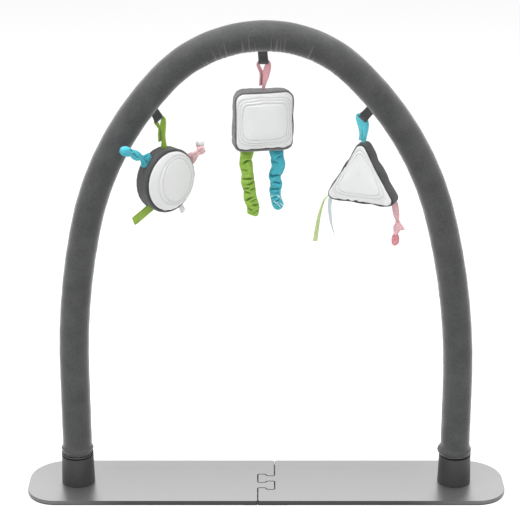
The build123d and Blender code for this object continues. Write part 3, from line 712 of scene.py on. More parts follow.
def pucker(length, shortest, longest, seed):
    """Uneven waves once round a seam, from about -1 to 1."""
    chance = np.random.default_rng(seed)
    place = full_turn(SPOKES * FINER_SPOKES)
    wave = np.zeros(len(place))
    for _ in range(7):
        turns = round(length / chance.uniform(shortest, longest))
        wave += np.sin(turns * place + chance.uniform(0, 2 * pi)) * chance.uniform(0.4, 1)
    return wave / 2.4


def heather(name, dark, light):
    """Mottled knit, with painted shade in the ditch beside the front seam."""
    material = finish(
        name, Roughness=0.9, Specular_IOR_Level=0.15, Sheen_Weight=0.3, Sheen_Roughness=0.45)
    colour = shades(material, spread(material, speckle(material, 700, 5.0), 0, 1), dark, light)
    feed(material, "Base Color", tinted(material, colour, "ditch", (0.03, 0.03, 0.03), 0.75))
    knit(material, 0.0011, 0.00025, 0.5)
    return material


face_jersey = finish(
    "white_quilted_jersey", Roughness=0.85, Specular_IOR_Level=0.2, Sheen_Weight=0.15, Sheen_Roughness=0.5)
feed(face_jersey, "Base Color", shades(
    face_jersey, speckle(face_jersey, 300, 4.0), (0.8, 0.805, 0.805), (0.86, 0.865, 0.865)))
knit(face_jersey, 0.0009, 0.00012, 0.4)
dark_heather = heather("dark_heather_jersey", (0.065, 0.065, 0.066), (0.125, 0.125, 0.125))
pale_heather = heather("pale_heather_jersey", (0.17, 0.17, 0.17), (0.34, 0.34, 0.34))
quilt_thread = finish("quilting_thread", Roughness=0.7)
feed(quilt_thread, "Base Color", shades(
    quilt_thread, speckle(quilt_thread, 2500), (0.4, 0.4, 0.4), (0.54, 0.54, 0.54)))

spoke_angle = full_turn(SPOKES)
DISC_RADIUS = 0.0423
disc_outline = DISC_RADIUS * np.stack([np.cos(spoke_angle), np.sin(spoke_angle)], 1)
SQUARE_HALF, SQUARE_CORNER = 0.0395, 0.011
square_corners = SQUARE_HALF * np.array([(-1, -1), (1, -1), (1, 1), (-1, 1)])
square_outline = rounded_outline(square_corners, SQUARE_CORNER, 0.0002)
TRIANGLE_BASE, TRIANGLE_HEIGHT, TRIANGLE_CORNER = 0.1048, 0.0899, 0.0075
apex_half = np.arctan(TRIANGLE_BASE / 2 / TRIANGLE_HEIGHT)
apex_cut = TRIANGLE_CORNER * (1 / sin(apex_half) - 1)
rise = (TRIANGLE_HEIGHT - apex_cut) / 2
triangle_corners = [(-TRIANGLE_BASE / 2, -rise), (TRIANGLE_BASE / 2, -rise), (0, rise + apex_cut)]
triangle_outline = rounded_outline(triangle_corners, TRIANGLE_CORNER, 0.0008)
TOY_YAW = {"disc": 44, "square": 12, "triangle": -24}


def toy_place(toy):
    """Function that turns points given across, up and out of a toy's face into the frame's own."""
    low, high = (np.array(corner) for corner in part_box(f"{toy}_gusset"))
    yaw = radians(TOY_YAW[toy])
    turned = np.array([(cos(yaw), sin(yaw), 0), (0, 0, 1), (sin(yaw), -cos(yaw), 0)])
    return lambda local: (low + high) / 2 + np.asarray(local) @ turned


def stuffed_toy(toy, outline, quilting, gusset_cloth, seed, sag, loose, off_middle=0, taper=0, lean=0):
    """Faces, gusset and quilting of one toy. Each line of quilting has a size across and up, as a share of
    the outline, and off_middle shifts them. The back is smaller by taper and turned by lean degrees. The
    gusset sags below the toy and is loose at its side."""
    placed = toy_place(toy)
    shares = np.linspace(0, 1, FACE_RINGS + 1)
    depth = GUSSET_DEPTH / 2
    face = np.stack([np.column_stack([outline * share, np.full(SPOKES, depth)]) for share in shares])

    def turned(share):
        """Turn and size of the outline, a share of the way to the back."""
        turn = radians(lean) * share
        return np.array([(cos(turn), sin(turn)), (-sin(turn), cos(turn))]) * (1 - taper * share**2)

    steps = np.linspace(0, 1, GUSSET_RINGS + 1)
    levels = np.linspace(depth, -depth, GUSSET_RINGS + 1)
    side = np.stack([np.column_stack([outline @ turned(share), np.full(SPOKES, level)])
                     for share, level in zip(steps, levels)])
    back = face[::-1] * (1, 1, -1)
    back[..., :2] = back[..., :2] @ turned(1)
    rings = np.concatenate([face, side[1:-1], back])
    rings = swell(rings, (FACE_RINGS, FACE_RINGS + GUSSET_RINGS))
    length = np.linalg.norm(np.roll(outline, -1, 0) - outline, axis=1).sum()
    wide = finer(side, 1, FINER_SPOKES)[0]
    low_edge = np.clip(-5 * wide[:, 1] / np.abs(wide[:, 1]).max() - 3.6, 0, 1)
    waves = pucker(length, 0.008, 0.018, seed) * (0.25 + 1.1 * low_edge)
    other_waves = pucker(length, 0.008, 0.018, seed + 20) * 0.5
    eased = 0.0007 * waves * low_edge
    toward = unit(wide * (1, 1, 0))
    slack = pucker(length, 0.022, 0.045, seed + 40) * np.clip(2 * toward[:, 0], 0.2, 1)
    reach = np.linalg.norm(wide[:, :2], axis=1)
    around = np.arctan2(wide[:, 1], wide[:, 0])

    def face_piece(name, part, direction, seam_waves):
        """One face with its ditches of quilting, and the lines that the stitches follow."""
        grid = finer(part, FINER_RINGS, FINER_SPOKES, pole=True)
        share = np.linspace(0, 1, len(grid))[:, None]
        from_seam = (1 - share) * reach[None, :]
        near_seam = np.exp(-from_seam / EASE_REACH)
        lift = 0.0004 * seam_waves[None, :] * near_seam * (1 - np.exp(-from_seam / 0.0015))
        lift -= 0.0007 * np.exp(-from_seam / 0.0012)
        stitch_lines = []
        for number, (across, up) in enumerate(quilting):
            line = 0.75 * wide[:, :2] + 0.25 * toward[:, :2] * reach.mean()
            line = line * (across, up) + (direction * off_middle, 0)
            along = np.arctan2(line[:, 1], line[:, 0])
            wander = np.interp(around, along, np.linalg.norm(line, axis=1), period=2 * pi) / reach
            slow, quick = 3 * around + seed + number, 7 * around + 2 * seed - number
            wander += 0.008 * np.sin(slow) + 0.007 * np.sin(quick)
            gap = (share - wander[None, :]) * reach[None, :]
            lift -= QUILT_DITCH * np.exp(-(gap / QUILT_HALF_WIDTH) ** 2)
            lift += 0.0003 * np.exp(-((np.abs(gap) - 0.003) / 0.002) ** 2)
            stitch_lines.append(wander)
        grid = grid + lift[..., None] * np.array([0, 0, direction])
        edge = SEAM_TUCK * np.exp(-from_seam / 0.001) * 0.8 + eased[None, :] * near_seam
        grid -= toward[None] * edge[..., None]
        lining = grid[::-FINER_RINGS] * (0.965, 0.965, 1) - np.array([0, 0, direction * FACE_LINING])
        rows = np.concatenate([grid[1:], lining[:-1]])
        if direction < 0:
            rows = rows[:, ::-1]
        piece = skin(name, placed(rows), uv=rows[..., :2])
        piece.data.materials.append(face_jersey)
        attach(piece, f"{toy}_toy")
        stitches = []
        for wander in stitch_lines:
            ring_at = wander * (len(grid) - 1)
            base = np.floor(ring_at).astype(int)
            rest = (ring_at - base)[:, None]
            spoke = np.arange(len(wander))
            line = grid[base, spoke] * (1 - rest) + grid[base + 1, spoke] * rest
            stitches.append(line)
        return piece, stitches

    def stitch_piece(name, lines, direction):
        """Short tube of thread for each stitch, dipping into the cloth at both ends."""
        stitches = []
        for line in lines:
            closed = np.concatenate([line, line[:1]])
            travel = travelled(closed)
            total = round(travel[-1] / STITCH_LENGTH)
            for number in range(total):
                at = travel[-1] * (number + np.array([0.08, 0.25, 0.5, 0.75, 0.92])) / total
                middle = rows_at(at, travel, closed)
                middle[:, 2] += direction * np.array([-0.0003, 0.00015, 0.0003, 0.00015, -0.0003])
                stitches.append(middle)
        stitches = np.array(stitches)
        along = unit(np.gradient(stitches, axis=1))
        sideways = unit(np.cross(along, (0, 0, 1)))
        up = np.cross(sideways, along)
        turn = full_turn(6)
        out = sideways[:, :, None] * np.cos(turn)[:, None] + up[:, :, None] * np.sin(turn)[:, None]
        rings = stitches[:, :, None] + THREAD_RADIUS * out
        index = np.arange(rings[..., 0].size).reshape(rings.shape[:3])
        after = np.roll(index, -1, 2)
        faces = np.stack([index[:, :-1], after[:, :-1], after[:, 1:], index[:, 1:]], -1)
        faces = faces.reshape(-1, 4).tolist() + index[:, 0, ::-1].tolist() + index[:, -1].tolist()
        mesh = bpy.data.meshes.new(name)
        mesh.from_pydata(placed(rings.reshape(-1, 3)).tolist(), [], faces)
        mesh.shade_smooth()
        piece = put(name, mesh)
        piece.data.materials.append(quilt_thread)
        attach(piece, f"{toy}_toy")

    front, back = rings[:FACE_RINGS + 1], rings[-FACE_RINGS - 1:][::-1]
    front_face, front_lines = face_piece(f"{toy}_face_front", front, 1, waves)
    back_face, back_lines = face_piece(f"{toy}_face_back", back, -1, other_waves)
    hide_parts(f"{toy}_front_panel")
    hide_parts(f"{toy}_back_panel")
    stitch_piece(f"{toy}_topstitch_front", front_lines, 1)
    stitch_piece(f"{toy}_topstitch_back", back_lines, -1)

    grid = finer(rings[FACE_RINGS:FACE_RINGS + GUSSET_RINGS + 1], FINER_RINGS, FINER_SPOKES)
    from_front = np.linspace(0, GUSSET_DEPTH, len(grid))[:, None]
    from_back = GUSSET_DEPTH - from_front
    front_rise, back_rise = 1 - np.exp(-from_front / 0.002), 1 - np.exp(-from_back / 0.002)
    lift = 0.0009 * waves[None, :] * np.exp(-from_front / 0.007) * front_rise
    lift = lift + 0.0009 * other_waves[None, :] * np.exp(-from_back / 0.007) * back_rise
    lift += (0.001 + loose * slack[None, :] + sag * low_edge[None, :]) * front_rise * back_rise
    lift -= SEAM_TUCK * (np.exp(-from_front / 0.001) + np.exp(-from_back / 0.001))
    lift -= eased[None, :] * np.exp(-from_front / EASE_REACH)
    grid = grid + toward[None] * lift[..., None]
    lining = grid[::-FINER_RINGS] - toward[None] * GUSSET_LINING
    gusset = skin(f"{toy}_gusset_band", placed(np.concatenate([grid, lining])), loop=True)
    # Painted shade: the gusset is darkened in a band along its front seam.
    ditch = np.zeros((len(grid) + len(lining), len(toward)))
    ditch[:len(grid)] = np.exp(-(from_front / 0.0016) ** 2)
    mark(gusset, "ditch", ditch)
    gusset.data.materials.append(gusset_cloth)
    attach(gusset, f"{toy}_toy")
    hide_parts(f"{toy}_gusset", f"{toy}_filling")


stuffed_toy("disc", disc_outline, [(0.62, 0.72), (0.775, 0.8)], dark_heather, seed=3,
            sag=0.0008, loose=0.0003, off_middle=0.0064)
stuffed_toy("square", square_outline, [(0.76, 0.62), (0.84, 0.73), (0.92, 0.81)], pale_heather, seed=5,
            sag=0.003, loose=0.001, taper=0.045, lean=-3)
stuffed_toy("triangle", triangle_outline, [(0.69, 0.69), (0.81, 0.79)], dark_heather, seed=8,
            sag=0.0012, loose=0.003, taper=0.02)


# Disc's tags: two tubes of jersey, each tied in a knot, a loose white tip and two folded ribbons. All
# are caught in the seams of the rim or in a knot.

FULL_FOLDS_THICK, DEEP_CREASE = 0.003, 0.0018


def soft_tube(name, rows, side, count, surface):
    """Soft tube along a line; each row is a point, half width, half thickness and roll in degrees.
    surface adds to its radius, by distance along, angle round and distance across."""
    run = smooth(rows, count)
    along = unit(np.gradient(run[:, :3], axis=0))
    sides = []
    for direction in along:
        side = unit(side - direction * np.dot(side, direction))
        sides.append(side)
    ups = np.cross(along, sides)
    turn = full_turn(64)
    roll = np.radians(run[:, 5])[:, None]
    wide, thick = run[:, 3:4] * np.cos(turn), run[:, 4:5] * np.sin(turn)
    travel = travelled(run[:, :3])
    grow = surface(travel[:, None], turn[None, :], wide) * np.minimum(1, run[:, 4:5] / FULL_FOLDS_THICK)
    wide, thick = wide + grow * np.cos(turn), thick + grow * np.sin(turn)
    flat = wide * np.cos(roll) - thick * np.sin(roll)
    lifted = wide * np.sin(roll) + thick * np.cos(roll)
    sides = np.array(sides)[:, None] * flat[..., None]
    tube = skin(name, run[:, None, :3] + sides + ups[:, None] * lifted[..., None])
    # The deeper the crease, the darker the cloth's colour there, as painted shade.
    mark(tube, "crease", np.clip(-grow / DEEP_CREASE, 0, 1))
    return tube


def pleats(folds, depth, seed):
    """Uneven folds along a tube of gathered cloth."""
    chance = np.random.default_rng(seed)
    ranges = (0, 2 * pi), (-90, 90), (0.4, 1)
    phase, drift, size = (chance.uniform(low, high, folds) for low, high in ranges)

    def surface(travel, turn, across):
        total = 0 * across
        for number in range(folds):
            wave = np.cos((number + 3) * turn + phase[number] + drift[number] * travel)
            total += depth * size[number] * wave / (1 + 0.3 * number)
        return total
    return surface


def creases(lines, base=None):
    """Folds pressed into a soft tube, on its front and again a little further along on its back.
    Each runs between two points, in millimetres along and across, with a depth and a half width."""
    def surface(travel, turn, across):
        total = 0 * across if base is None else base(travel, turn, across)
        for facing, shift in ((1, 0), (-1, 2.5)):
            near = np.clip(2.5 * np.sin(turn) * facing, 0, 1)
            for along_a, across_a, along_b, across_b, depth, half_width in lines:
                ahead, aside = (along_b - along_a) / 1000, facing * (across_b - across_a) / 1000
                on, off = travel - (along_a + shift) / 1000, across - facing * across_a / 1000
                share = np.clip((on * ahead + off * aside) / (ahead**2 + aside**2), 0, 1)
                gap = np.hypot(on - share * ahead, off - share * aside) * 1000 / half_width
                fold = 0.3 * np.exp(-((gap - 2.6) / 1.4) ** 2) - np.exp(-gap**2)
                total += depth / 1000 * fold * near * (1 - 0.6 * (2 * share - 1) ** 2)
        return total
    return surface


PLAIN_KNIT = {"Roughness": 0.85, "Specular_IOR_Level": 0.2, "Sheen_Weight": 0.25, "Sheen_Roughness": 0.4}


def plain_jersey(name, dark, light, fold):
    """Plain knit, darker down in its folds as painted shade."""
    material = finish(name, **PLAIN_KNIT)
    colour = shades(material, spread(material, speckle(material, 300, 3.0), 0, 1), dark, light)
    feed(material, "Base Color", tinted(material, colour, "crease", fold, 0.8))
    knit(material, 0.0008, 0.00015, 0.4)
    return material


# The third colour of each is the painted shade in its folds.
blue_jersey = plain_jersey("blue_jersey", (0.065, 0.43, 0.53), (0.1, 0.53, 0.63), (0.02, 0.16, 0.22))
green_jersey = plain_jersey("green_jersey", (0.27, 0.47, 0.07), (0.35, 0.56, 0.1), (0.07, 0.14, 0.01))
pink_jersey = plain_jersey("pink_jersey", (0.79, 0.46, 0.49), (0.9, 0.59, 0.61), (0.5, 0.1, 0.14))
deep_pink = plain_jersey("deep_pink_jersey", (0.71, 0.25, 0.29), (0.83, 0.37, 0.41), (0.45, 0.07, 0.1))
pale_blue = plain_jersey("pale_blue_thread", (0.5, 0.76, 0.8), (0.68, 0.86, 0.88), (0.3, 0.6, 0.66))
light_pink = plain_jersey("light_pink_jersey", (0.8, 0.5, 0.53), (0.92, 0.64, 0.66), (0.28, 0.06, 0.09))
faded_pink = finish("faded_pink_jersey", **PLAIN_KNIT)
fading = spread(faded_pink, cloth_place(faded_pink)["Y"], 0, 1, 0.002, 0.005)
feed(faded_pink, "Base Color", shades(faded_pink, fading, (0.86, 0.6, 0.62), (0.97, 0.95, 0.945)))
knit(faded_pink, 0.0008, 0.00015, 0.4)
pale_tape = woven("pale_tape", (0.92, 0.94, 0.935), (0.97, 0.975, 0.972))
pale_green_tape = woven("pale_green_tape", (0.6, 0.78, 0.3), (0.75, 0.89, 0.48))
pale_blue_tape = woven("pale_blue_tape", (0.7, 0.81, 0.82), (0.8, 0.88, 0.89))
on_disc = toy_place("disc")


def disc_point(across, up, forward=0):
    """Point of the disc, in millimetres from its middle."""
    return on_disc((across / 1000, up / 1000, forward / 1000))


def round_disc(out, angle, forward=0):
    """Point of the disc, in millimetres out from its middle and degrees round from its right."""
    return disc_point(out * cos(radians(angle)), out * sin(radians(angle)), forward)


def tube_rows(place, rows):
    """Rows of a soft tube, from places on a toy and half sizes in millimetres and rolls in degrees."""
    return [(*place(*row[:3]), row[3] / 1000, row[4] / 1000, row[5]) for row in rows]


def tied_turn(name, centre, axis, side, radius, half_width, half_thick, tilt):
    """The turn of cloth that goes round a knot, leaning by tilt degrees."""
    axis, side = unit(np.asarray(axis)), unit(np.asarray(side))
    lean = np.cross(axis, side)
    axis = axis * cos(radians(tilt)) + lean * sin(radians(tilt))
    lean = np.cross(axis, side)
    rows = []
    for turn in full_turn(48):
        out = side * cos(turn) + lean * sin(turn)
        ring = full_turn(20)
        fuller = 1 + 0.12 * sin(3 * turn + 1)
        rows.append(centre + out * radius + half_thick * fuller * np.outer(np.cos(ring), out)
                    + half_width * fuller * np.outer(np.sin(ring), axis))
    return skin(name, rows, loop=True)


blue_rows = [
    (41, 134, 0, 7.5, 1.6, 0), (45.5, 135, 0, 9.8, 2.8, 0), (50, 135.5, 0, 10.8, 3.4, 0),
    (53.5, 136, 0, 7.6, 3.4, 0),
    (56.5, 136.3, 0, 4.2, 3.0, 0), (59, 137, 0, 3.6, 3.2, 0), (62, 137.8, 0, 5.2, 4.4, 10),
    (66, 138.5, 0, 6.8, 5.4, 20),
    (70, 139, 0, 7.1, 5.6, 25), (75, 139.4, 0, 6.1, 4.9, 30), (78.5, 139.8, 0, 4.6, 4.1, 30),
    (82, 140.4, 0, 5.9, 5.1, 30),
    (87, 141.6, 0, 7.1, 6.1, 35), (92, 142.8, 0, 6.6, 5.6, 40), (95.5, 143.6, 0, 4.4, 3.8, 40),
    (97, 144, 0, 1.2, 1, 40)]
blue_lines = [
    (46.2, 0.2, 39.5, -0.7, 1.8, 0.9), (38.2, 2.8, 30.4, 4.6, 1.8, 1.0), (30.4, 4.6, 25.5, 3.1, 1.2, 0.9),
    (15.4, -1.0, 10.2, -7.2, 2.4, 1.0), (14.4, -0.5, 4.5, 3.5, 2.0, 1.0), (12.8, 4.5, 8.7, 9.4, 1.6, 1.0)]
pink_rows = [
    (43, 21.8, 0, 10.4, 1.6, 0), (47, 21.7, 0, 10, 2.0, 0), (51.5, 21.6, 0, 9.2, 2.4, 0),
    (55, 21.8, 0.2, 8.0, 2.7, 0),
    (58.5, 22.1, 0.4, 6.5, 3.0, 0), (62, 22.4, 0.6, 4.9, 3.2, 0), (64.4, 22.6, 0.8, 4.0, 3.4, 0),
    (66, 22.8, 1, 5.0, 4.6, 5),
    (68, 22.9, 1.2, 6.0, 5.4, 10), (70.2, 23, 1.2, 6.3, 5.7, 10), (72.6, 23, 1, 5.6, 5.0, 10),
    (74.4, 23, 0.8, 3.8, 3.6, 10),
    (75.3, 23, 0.8, 1.2, 1.0, 10)]
pink_lines = [
    (22.3, -1.6, 10.9, -6.4, 4.4, 1.1), (7.3, 3.1, 7.6, -4.3, 1.8, 1.6), (31, 2.5, 30.5, -3, 1.6, 0.8),
    (30.5, -3, 26.5, -5, 1.6, 0.8)]
for name, rows, lines, cloth, slot, knot_at, knot_radius, tilt in (
        ("disc_blue", blue_rows, blue_lines, blue_jersey, "blue_jersey", (58.6, 136.8, 0), 3.0, -50),
        ("disc_pink", pink_rows, pink_lines, light_pink, "pink_jersey", (64.8, 22.6, 0.8), 3.2, -20)):
    out, angle, forward = knot_at
    outward = round_disc(out + 1, angle) - round_disc(out, angle)
    rim_side = round_disc(out, angle + 1) - round_disc(out, angle)
    folds = creases(lines, pleats(5, 0.0003, len(rows)))
    tag = soft_tube(f"{name}_tag", tube_rows(round_disc, rows), rim_side, 150, folds)
    wrap = tied_turn(f"{name}_knot_turn", round_disc(*knot_at), outward, rim_side, knot_radius / 1000,
                     half_width=0.0016, half_thick=0.0013, tilt=tilt)
    for piece in (tag, wrap):
        piece.data.materials.append(cloth)
        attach(piece, "disc_toy")
    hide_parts(f"{name}_knot")
tip_rows = [
    (64.6, 30, -1.5, 4.6, 3.8, 0), (65.6, 33, -2, 6.2, 5.0, 0), (66.6, 36, -2.4, 6.8, 5.4, 0),
    (67.4, 38.8, -2.6, 6.0, 4.6, 0), (67.8, 41, -2.8, 3.8, 3.0, 0), (68, 42, -2.8, 1.2, 1.0, 0)]
disc_across = on_disc((1, 0, 0)) - on_disc((0, 0, 0))
tip = soft_tube("disc_pink_tip", tube_rows(disc_point, tip_rows), disc_across, 60, pleats(5, 0.0003, 7))
tip.data.materials.append(faded_pink)
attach(tip, "disc_toy")

for name, base, bend, tip, width, gap, cloth, slot in (
        ("disc_green_tag", (-27, -33.8), (-45.3, -41.4), (-58.7, -47.2), 11.6, 1.1,
         green_ribbon, "green_ribbon"),
        ("disc_pale_tag", (20.8, -36), (26.6, -46.5), (31.4, -55.2), 8, 0.6,
         pale_tape, "pale_ribbon")):
    base, bend, tip = (np.array(point) for point in (base, bend, tip))
    near_tip = tip + 0.16 * (bend - tip)
    rows = [(*base, gap), (*bend, 1.3 * gap), (*near_tip, gap), (*tip, 0)]
    rows += [(*near_tip, -gap), (*bend, -0.7 * gap), (*base, -gap)]
    run = smooth(on_disc(np.array(rows) / 1000), 80)
    edge = np.array([-(tip - base)[1], (tip - base)[0], 0])
    edge = unit(on_disc(edge) - on_disc((0, 0, 0)))
    tag = band(f"{name}_fold", run, np.repeat(edge[None], len(run), 0), width / 1000, RIBBON_THICK)
    tag.data.materials.append(cloth)
    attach(tag, "disc_toy")
    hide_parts(name)


# Square's legs: tubes of jersey with a thread of elastic inside, which draws them up in uneven
# creases. Their flat tops are caught in the lower seam of the square.

green_run = [
    (-3, -21.6, 9.6, 1.2), (0, -21.7, 9.5, 2.0), (5.3, -21.8, 9.2, 5.6), (10.3, -22.6, 8.3, 7.0),
    (15.2, -23.8, 7.9, 7.0),
    (20.2, -23.3, 9.0, 8.0), (25.1, -22.6, 9.0, 8.0), (30, -21.7, 8.4, 7.4), (35, -21.1, 8.2, 7.2),
    (39.9, -20.7, 8.8, 7.8),
    (44.9, -21.0, 9.0, 7.8), (49.8, -20.1, 9.4, 8.2), (54.8, -18.9, 8.8, 7.8),
    (59.7, -17.9, 8.3, 7.4), (64.7, -17.9, 8.8, 7.8),
    (69.6, -17.4, 9.1, 8.0), (74.6, -16.0, 8.9, 7.8), (79.5, -14.2, 8.8, 7.8),
    (84.4, -13.3, 8.6, 7.4), (89.4, -13.2, 8.2, 6.6),
    (92.6, -13.8, 8.1, 5.6), (94.8, -14.4, 7.4, 4.0), (95.8, -14.8, 5.2, 2.0)]
blue_run = [
    (-3, 19, 10, 1.2), (0, 19, 10.1, 2.0), (5, 19, 10.0, 5.8), (9.8, 19.7, 9.4, 7.2),
    (14.5, 20.5, 8.8, 7.4),
    (19.1, 20.8, 9.5, 8.2), (23.8, 22, 9.6, 8.4), (28.5, 21.6, 9.3, 8.2), (33.2, 20.0, 8.8, 7.6),
    (37.9, 17.4, 8.2, 7.0),
    (42.6, 17.2, 8.4, 7.2), (47.2, 18.0, 7.5, 6.6), (51.9, 19.0, 8.4, 7.2), (56.6, 19.0, 7.6, 6.6),
    (61.3, 17.4, 7.9, 6.8),
    (66, 17.9, 7.5, 6.4), (70.7, 18.1, 7.3, 6.2), (75.4, 19.5, 7.5, 6.4), (80, 20.6, 7.8, 6.4),
    (84.7, 22.9, 7.4, 5.8),
    (87.8, 24.8, 5.0, 4.0), (89.2, 25.8, 1.6, 1.2)]
green_lines = [
    (7.6, -7.5, 8.4, 3.5, 0.8, 2.0), (21.5, -5.4, 16.8, 4.7, 2.8, 1.4),
    (29.4, -8.4, 31.9, -0.1, 1.6, 1.3),
    (45.1, -9.9, 43.4, 7.7, 2.4, 1.4), (52.2, -4.6, 51.2, 8.5, 2.4, 1.3), (57, -8.6, 56.3, 0.5, 2.4, 1.2),
    (60.4, -0.9, 60.3, 7, 2.0, 1.2), (60.9, -9.4, 65.4, -1.1, 2.2, 1.2),
    (74.6, -8.2, 71.1, 2.8, 2.8, 1.4),
    (77.3, -3.7, 76.1, 5.6, 2.0, 1.2), (82.7, -1.3, 85.2, 7.4, 2.4, 1.4),
    (86.8, -9.1, 91.3, -1.7, 1.8, 1.2),
    (96.1, -2.7, 91.6, 6.1, 1.6, 1.1)]
blue_lines = [
    (6.7, -10.2, 8.6, 6.1, 0.9, 2.0), (16.4, -3.4, 14, 6.2, 1.6, 1.4), (20.1, -11, 23.6, 0.4, 1.6, 1.3),
    (42.8, -11.3, 44.2, -4.9, 2.2, 1.4), (44.4, -4.8, 40.4, 5.7, 2.6, 1.4),
    (50.9, -4.6, 56.5, 6.3, 2.4, 1.3),
    (65.9, -9.8, 64.5, -4.7, 2.0, 1.2), (64.7, -5.6, 61, 4.5, 2.4, 1.3), (67.1, -7.8, 69.1, 4, 1.6, 1.1),
    (75.4, -5.5, 73.4, 1.9, 1.6, 1.0), (81.1, -6.4, 80.1, 5.2, 1.8, 1.1), (82.9, -4, 92.3, 3.9, 1.6, 1.0)]
on_square = toy_place("square")
square_across = on_square((1, 0, 0)) - on_square((0, 0, 0))
for colour, cloth, run, lines in (
        ("green", green_jersey, green_run, green_lines), ("blue", blue_jersey, blue_run, blue_lines)):
    top = np.array(joints[f"{colour}_leg_swing"]["pos_m"])
    rise = top[2] - on_square((0, 0, 0))[2]
    rows = [(*on_square((x / 1000, rise - drop / 1000, 0)), wide / 1000, thick / 1000, 0)
            for drop, x, wide, thick in run]
    leg = soft_tube(f"square_{colour}_gathered_leg", rows, square_across, 300, creases(lines))
    leg.data.materials.append(cloth)
    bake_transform(leg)
    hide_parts(f"square_{colour}_leg")

foot_edges = [
    [(75.4, -7.6), (73, -5.2), (71.7, -1.5), (72.6, 2.1), (76.3, 5.2), (79.3, 6.4)],
    [(78.5, -7.4), (80, -5.5), (83.3, -2.4), (86.5, -0.2), (90, 0.9)],
    [(81.7, -1.1), (83.7, 2.2), (87, 4.2), (90, 5)]]
EDGING_HALF_WIDTH, EDGING_HALF_THICK = 0.0008, 0.0005
run = np.array(blue_run)
travel = travelled(run[:, :2])
for number, points in enumerate(foot_edges):
    rows = []
    for along, across in points:
        drop, x, wide, thick = (np.interp(along, travel, column) for column in run.T)
        forward = thick * max(0.05, 1 - (across / wide) ** 2) ** 0.5 + 0.1
        on_foot = on_square(((x + across) / 1000, rise - drop / 1000, forward / 1000))
        rows.append((*on_foot, EDGING_HALF_WIDTH, EDGING_HALF_THICK, 0))
    folds = pleats(3, 0.0001, number)
    edging = soft_tube(f"blue_foot_edging_{number}", rows, np.array([0, 0, 1.0]), 50, folds)
    edging.data.materials.append(pale_blue)
    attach(edging, "blue_leg")


# Triangle's trimmings: two thin ribbons hanging from its left corner and a knotted pink tag at the
# right one, all caught in the lower seam.

on_triangle = toy_place("triangle")
triangle_across = on_triangle((1, 0, 0)) - on_triangle((0, 0, 0))
triangle_front = on_triangle((0, 0, 1)) - on_triangle((0, 0, 0))
CORNER_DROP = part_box("triangle_gusset")[0].z - 0.0005 - on_triangle((0, 0, 0))[2]
TAPE_THICK = 0.0006


def below_corner(x, drop, forward=0):
    """Point of the triangle below its lower seam, in millimetres."""
    return on_triangle((x / 1000, CORNER_DROP - drop / 1000, forward / 1000))


for name, cloth, slot, body, route, length in (
        ("triangle_green_ribbon", pale_green_tape, "pale_green_ribbon", "green_ribbon",
         ((-48, -3.4, -4, 40, 3.6), (-52.5, 0, -4, 40, 3.6), (-57.3, 4.8, -4, 36, 3.8),
         (-61.2, 14.2, -4, 26, 4.2),
          (-64.2, 24.5, -4, 16, 4.8), (-66.7, 36, -4, 6, 5.4), (-68.7, 49, -4, -4, 6),
          (-70.6, 62, -4, -12, 6.4), (-71.4, 70, -4, -14, 6.6)),
         0.081),
        ("triangle_pale_ribbon", pale_blue_tape, "pale_ribbon", "pale_ribbon",
         ((-45, -1, 4, 4, 6), (-46.8, 3.3, 4, 2, 6), (-47.4, 13.8, 4, 4, 5.8), (-46.4, 25, 4, 14, 5.4),
          (-44.4, 37.3, 4, 28, 4.6), (-41.4, 47.4, 4, 42, 3.6), (-38, 55, 4, 54, 2.6)),
         0.058)):
    run = smooth([(*below_corner(*row[:3]), *row[3:]) for row in route], 70)
    twist = np.radians(run[:, 3])[:, None]
    side = np.cos(twist) * triangle_across + np.sin(twist) * triangle_front
    hanging = band(f"{name}_tape", run[:, :3], side, run[:, 4] / 1000, TAPE_THICK)
    hanging.data.materials.append(cloth)
    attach(hanging, body)
    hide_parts(name)

pink_rows = [
    (43.2, -3.8, -7, 4.4, 1.0, 0), (44.2, 0, -7, 4.7, 1.7, 0), (45.7, 7, -7, 5.2, 2.0, 6),
    (46.8, 15, -7, 5.0, 2.2, 12),
    (48.4, 21.5, -7, 3.4, 2.2, 16), (49.3, 25.6, -7, 2.3, 2.3, 16), (49.2, 28.4, -7, 3.6, 2.8, 12),
    (48.6, 32.5, -7, 5.4, 3.2, 4),
    (47.4, 37.5, -7, 4.6, 3.0, 0), (46.4, 42.6, -7, 3.1, 2.6, -8), (46.2, 46, -7, 4.4, 3.2, -14),
    (45.9, 51, -7, 5.3, 3.6, -18),
    (45.6, 56, -7, 4.6, 3.2, -18), (45.4, 59.2, -7, 2.4, 1.8, -18), (45.3, 60, -7, 0.8, 0.7, -18)]
wing_rows = [
    (47.6, 27.4, -6, 3.2, 1.8, 0), (50.5, 29.6, -5.6, 5.0, 2.0, 0), (54, 31.6, -5.4, 4.6, 1.7, 0),
    (57.8, 33.2, -5.5, 2.4, 1.1, 0),
    (59.6, 33.8, -5.5, 0.7, 0.5, 0)]
pink_lines = [
    (20.5, -4.5, 28.5, -0.5, 1.4, 0.9), (25.5, 2.8, 28.8, -0.3, 1.4, 0.9), (12, 2.4, 22, 2.0, 0.8, 0.8),
    (36.5, -3.0, 37.5, 0.5, 0.9, 0.8), (47.4, -2.2, 50.2, -1.0, 1.4, 0.9),
    (47.2, 2.4, 50, 1.4, 1.4, 0.9), (50, 0.4, 57, 0.6, 0.8, 2.4)]
folds = creases(pink_lines, pleats(5, 0.0003, 31))
tag = soft_tube("triangle_pink_tag", tube_rows(below_corner, pink_rows), triangle_across, 150, folds)
wing = soft_tube("triangle_pink_wing", tube_rows(below_corner, wing_rows), triangle_across + (0, 0, 1), 50,
                 pleats(3, 0.0003, 33))
wrap = tied_turn("triangle_pink_knot_turn", below_corner(49.2, 26, -7), (0, 0, -1), triangle_across, 0.0022,
                 half_width=0.0022, half_thick=0.0015, tilt=30)
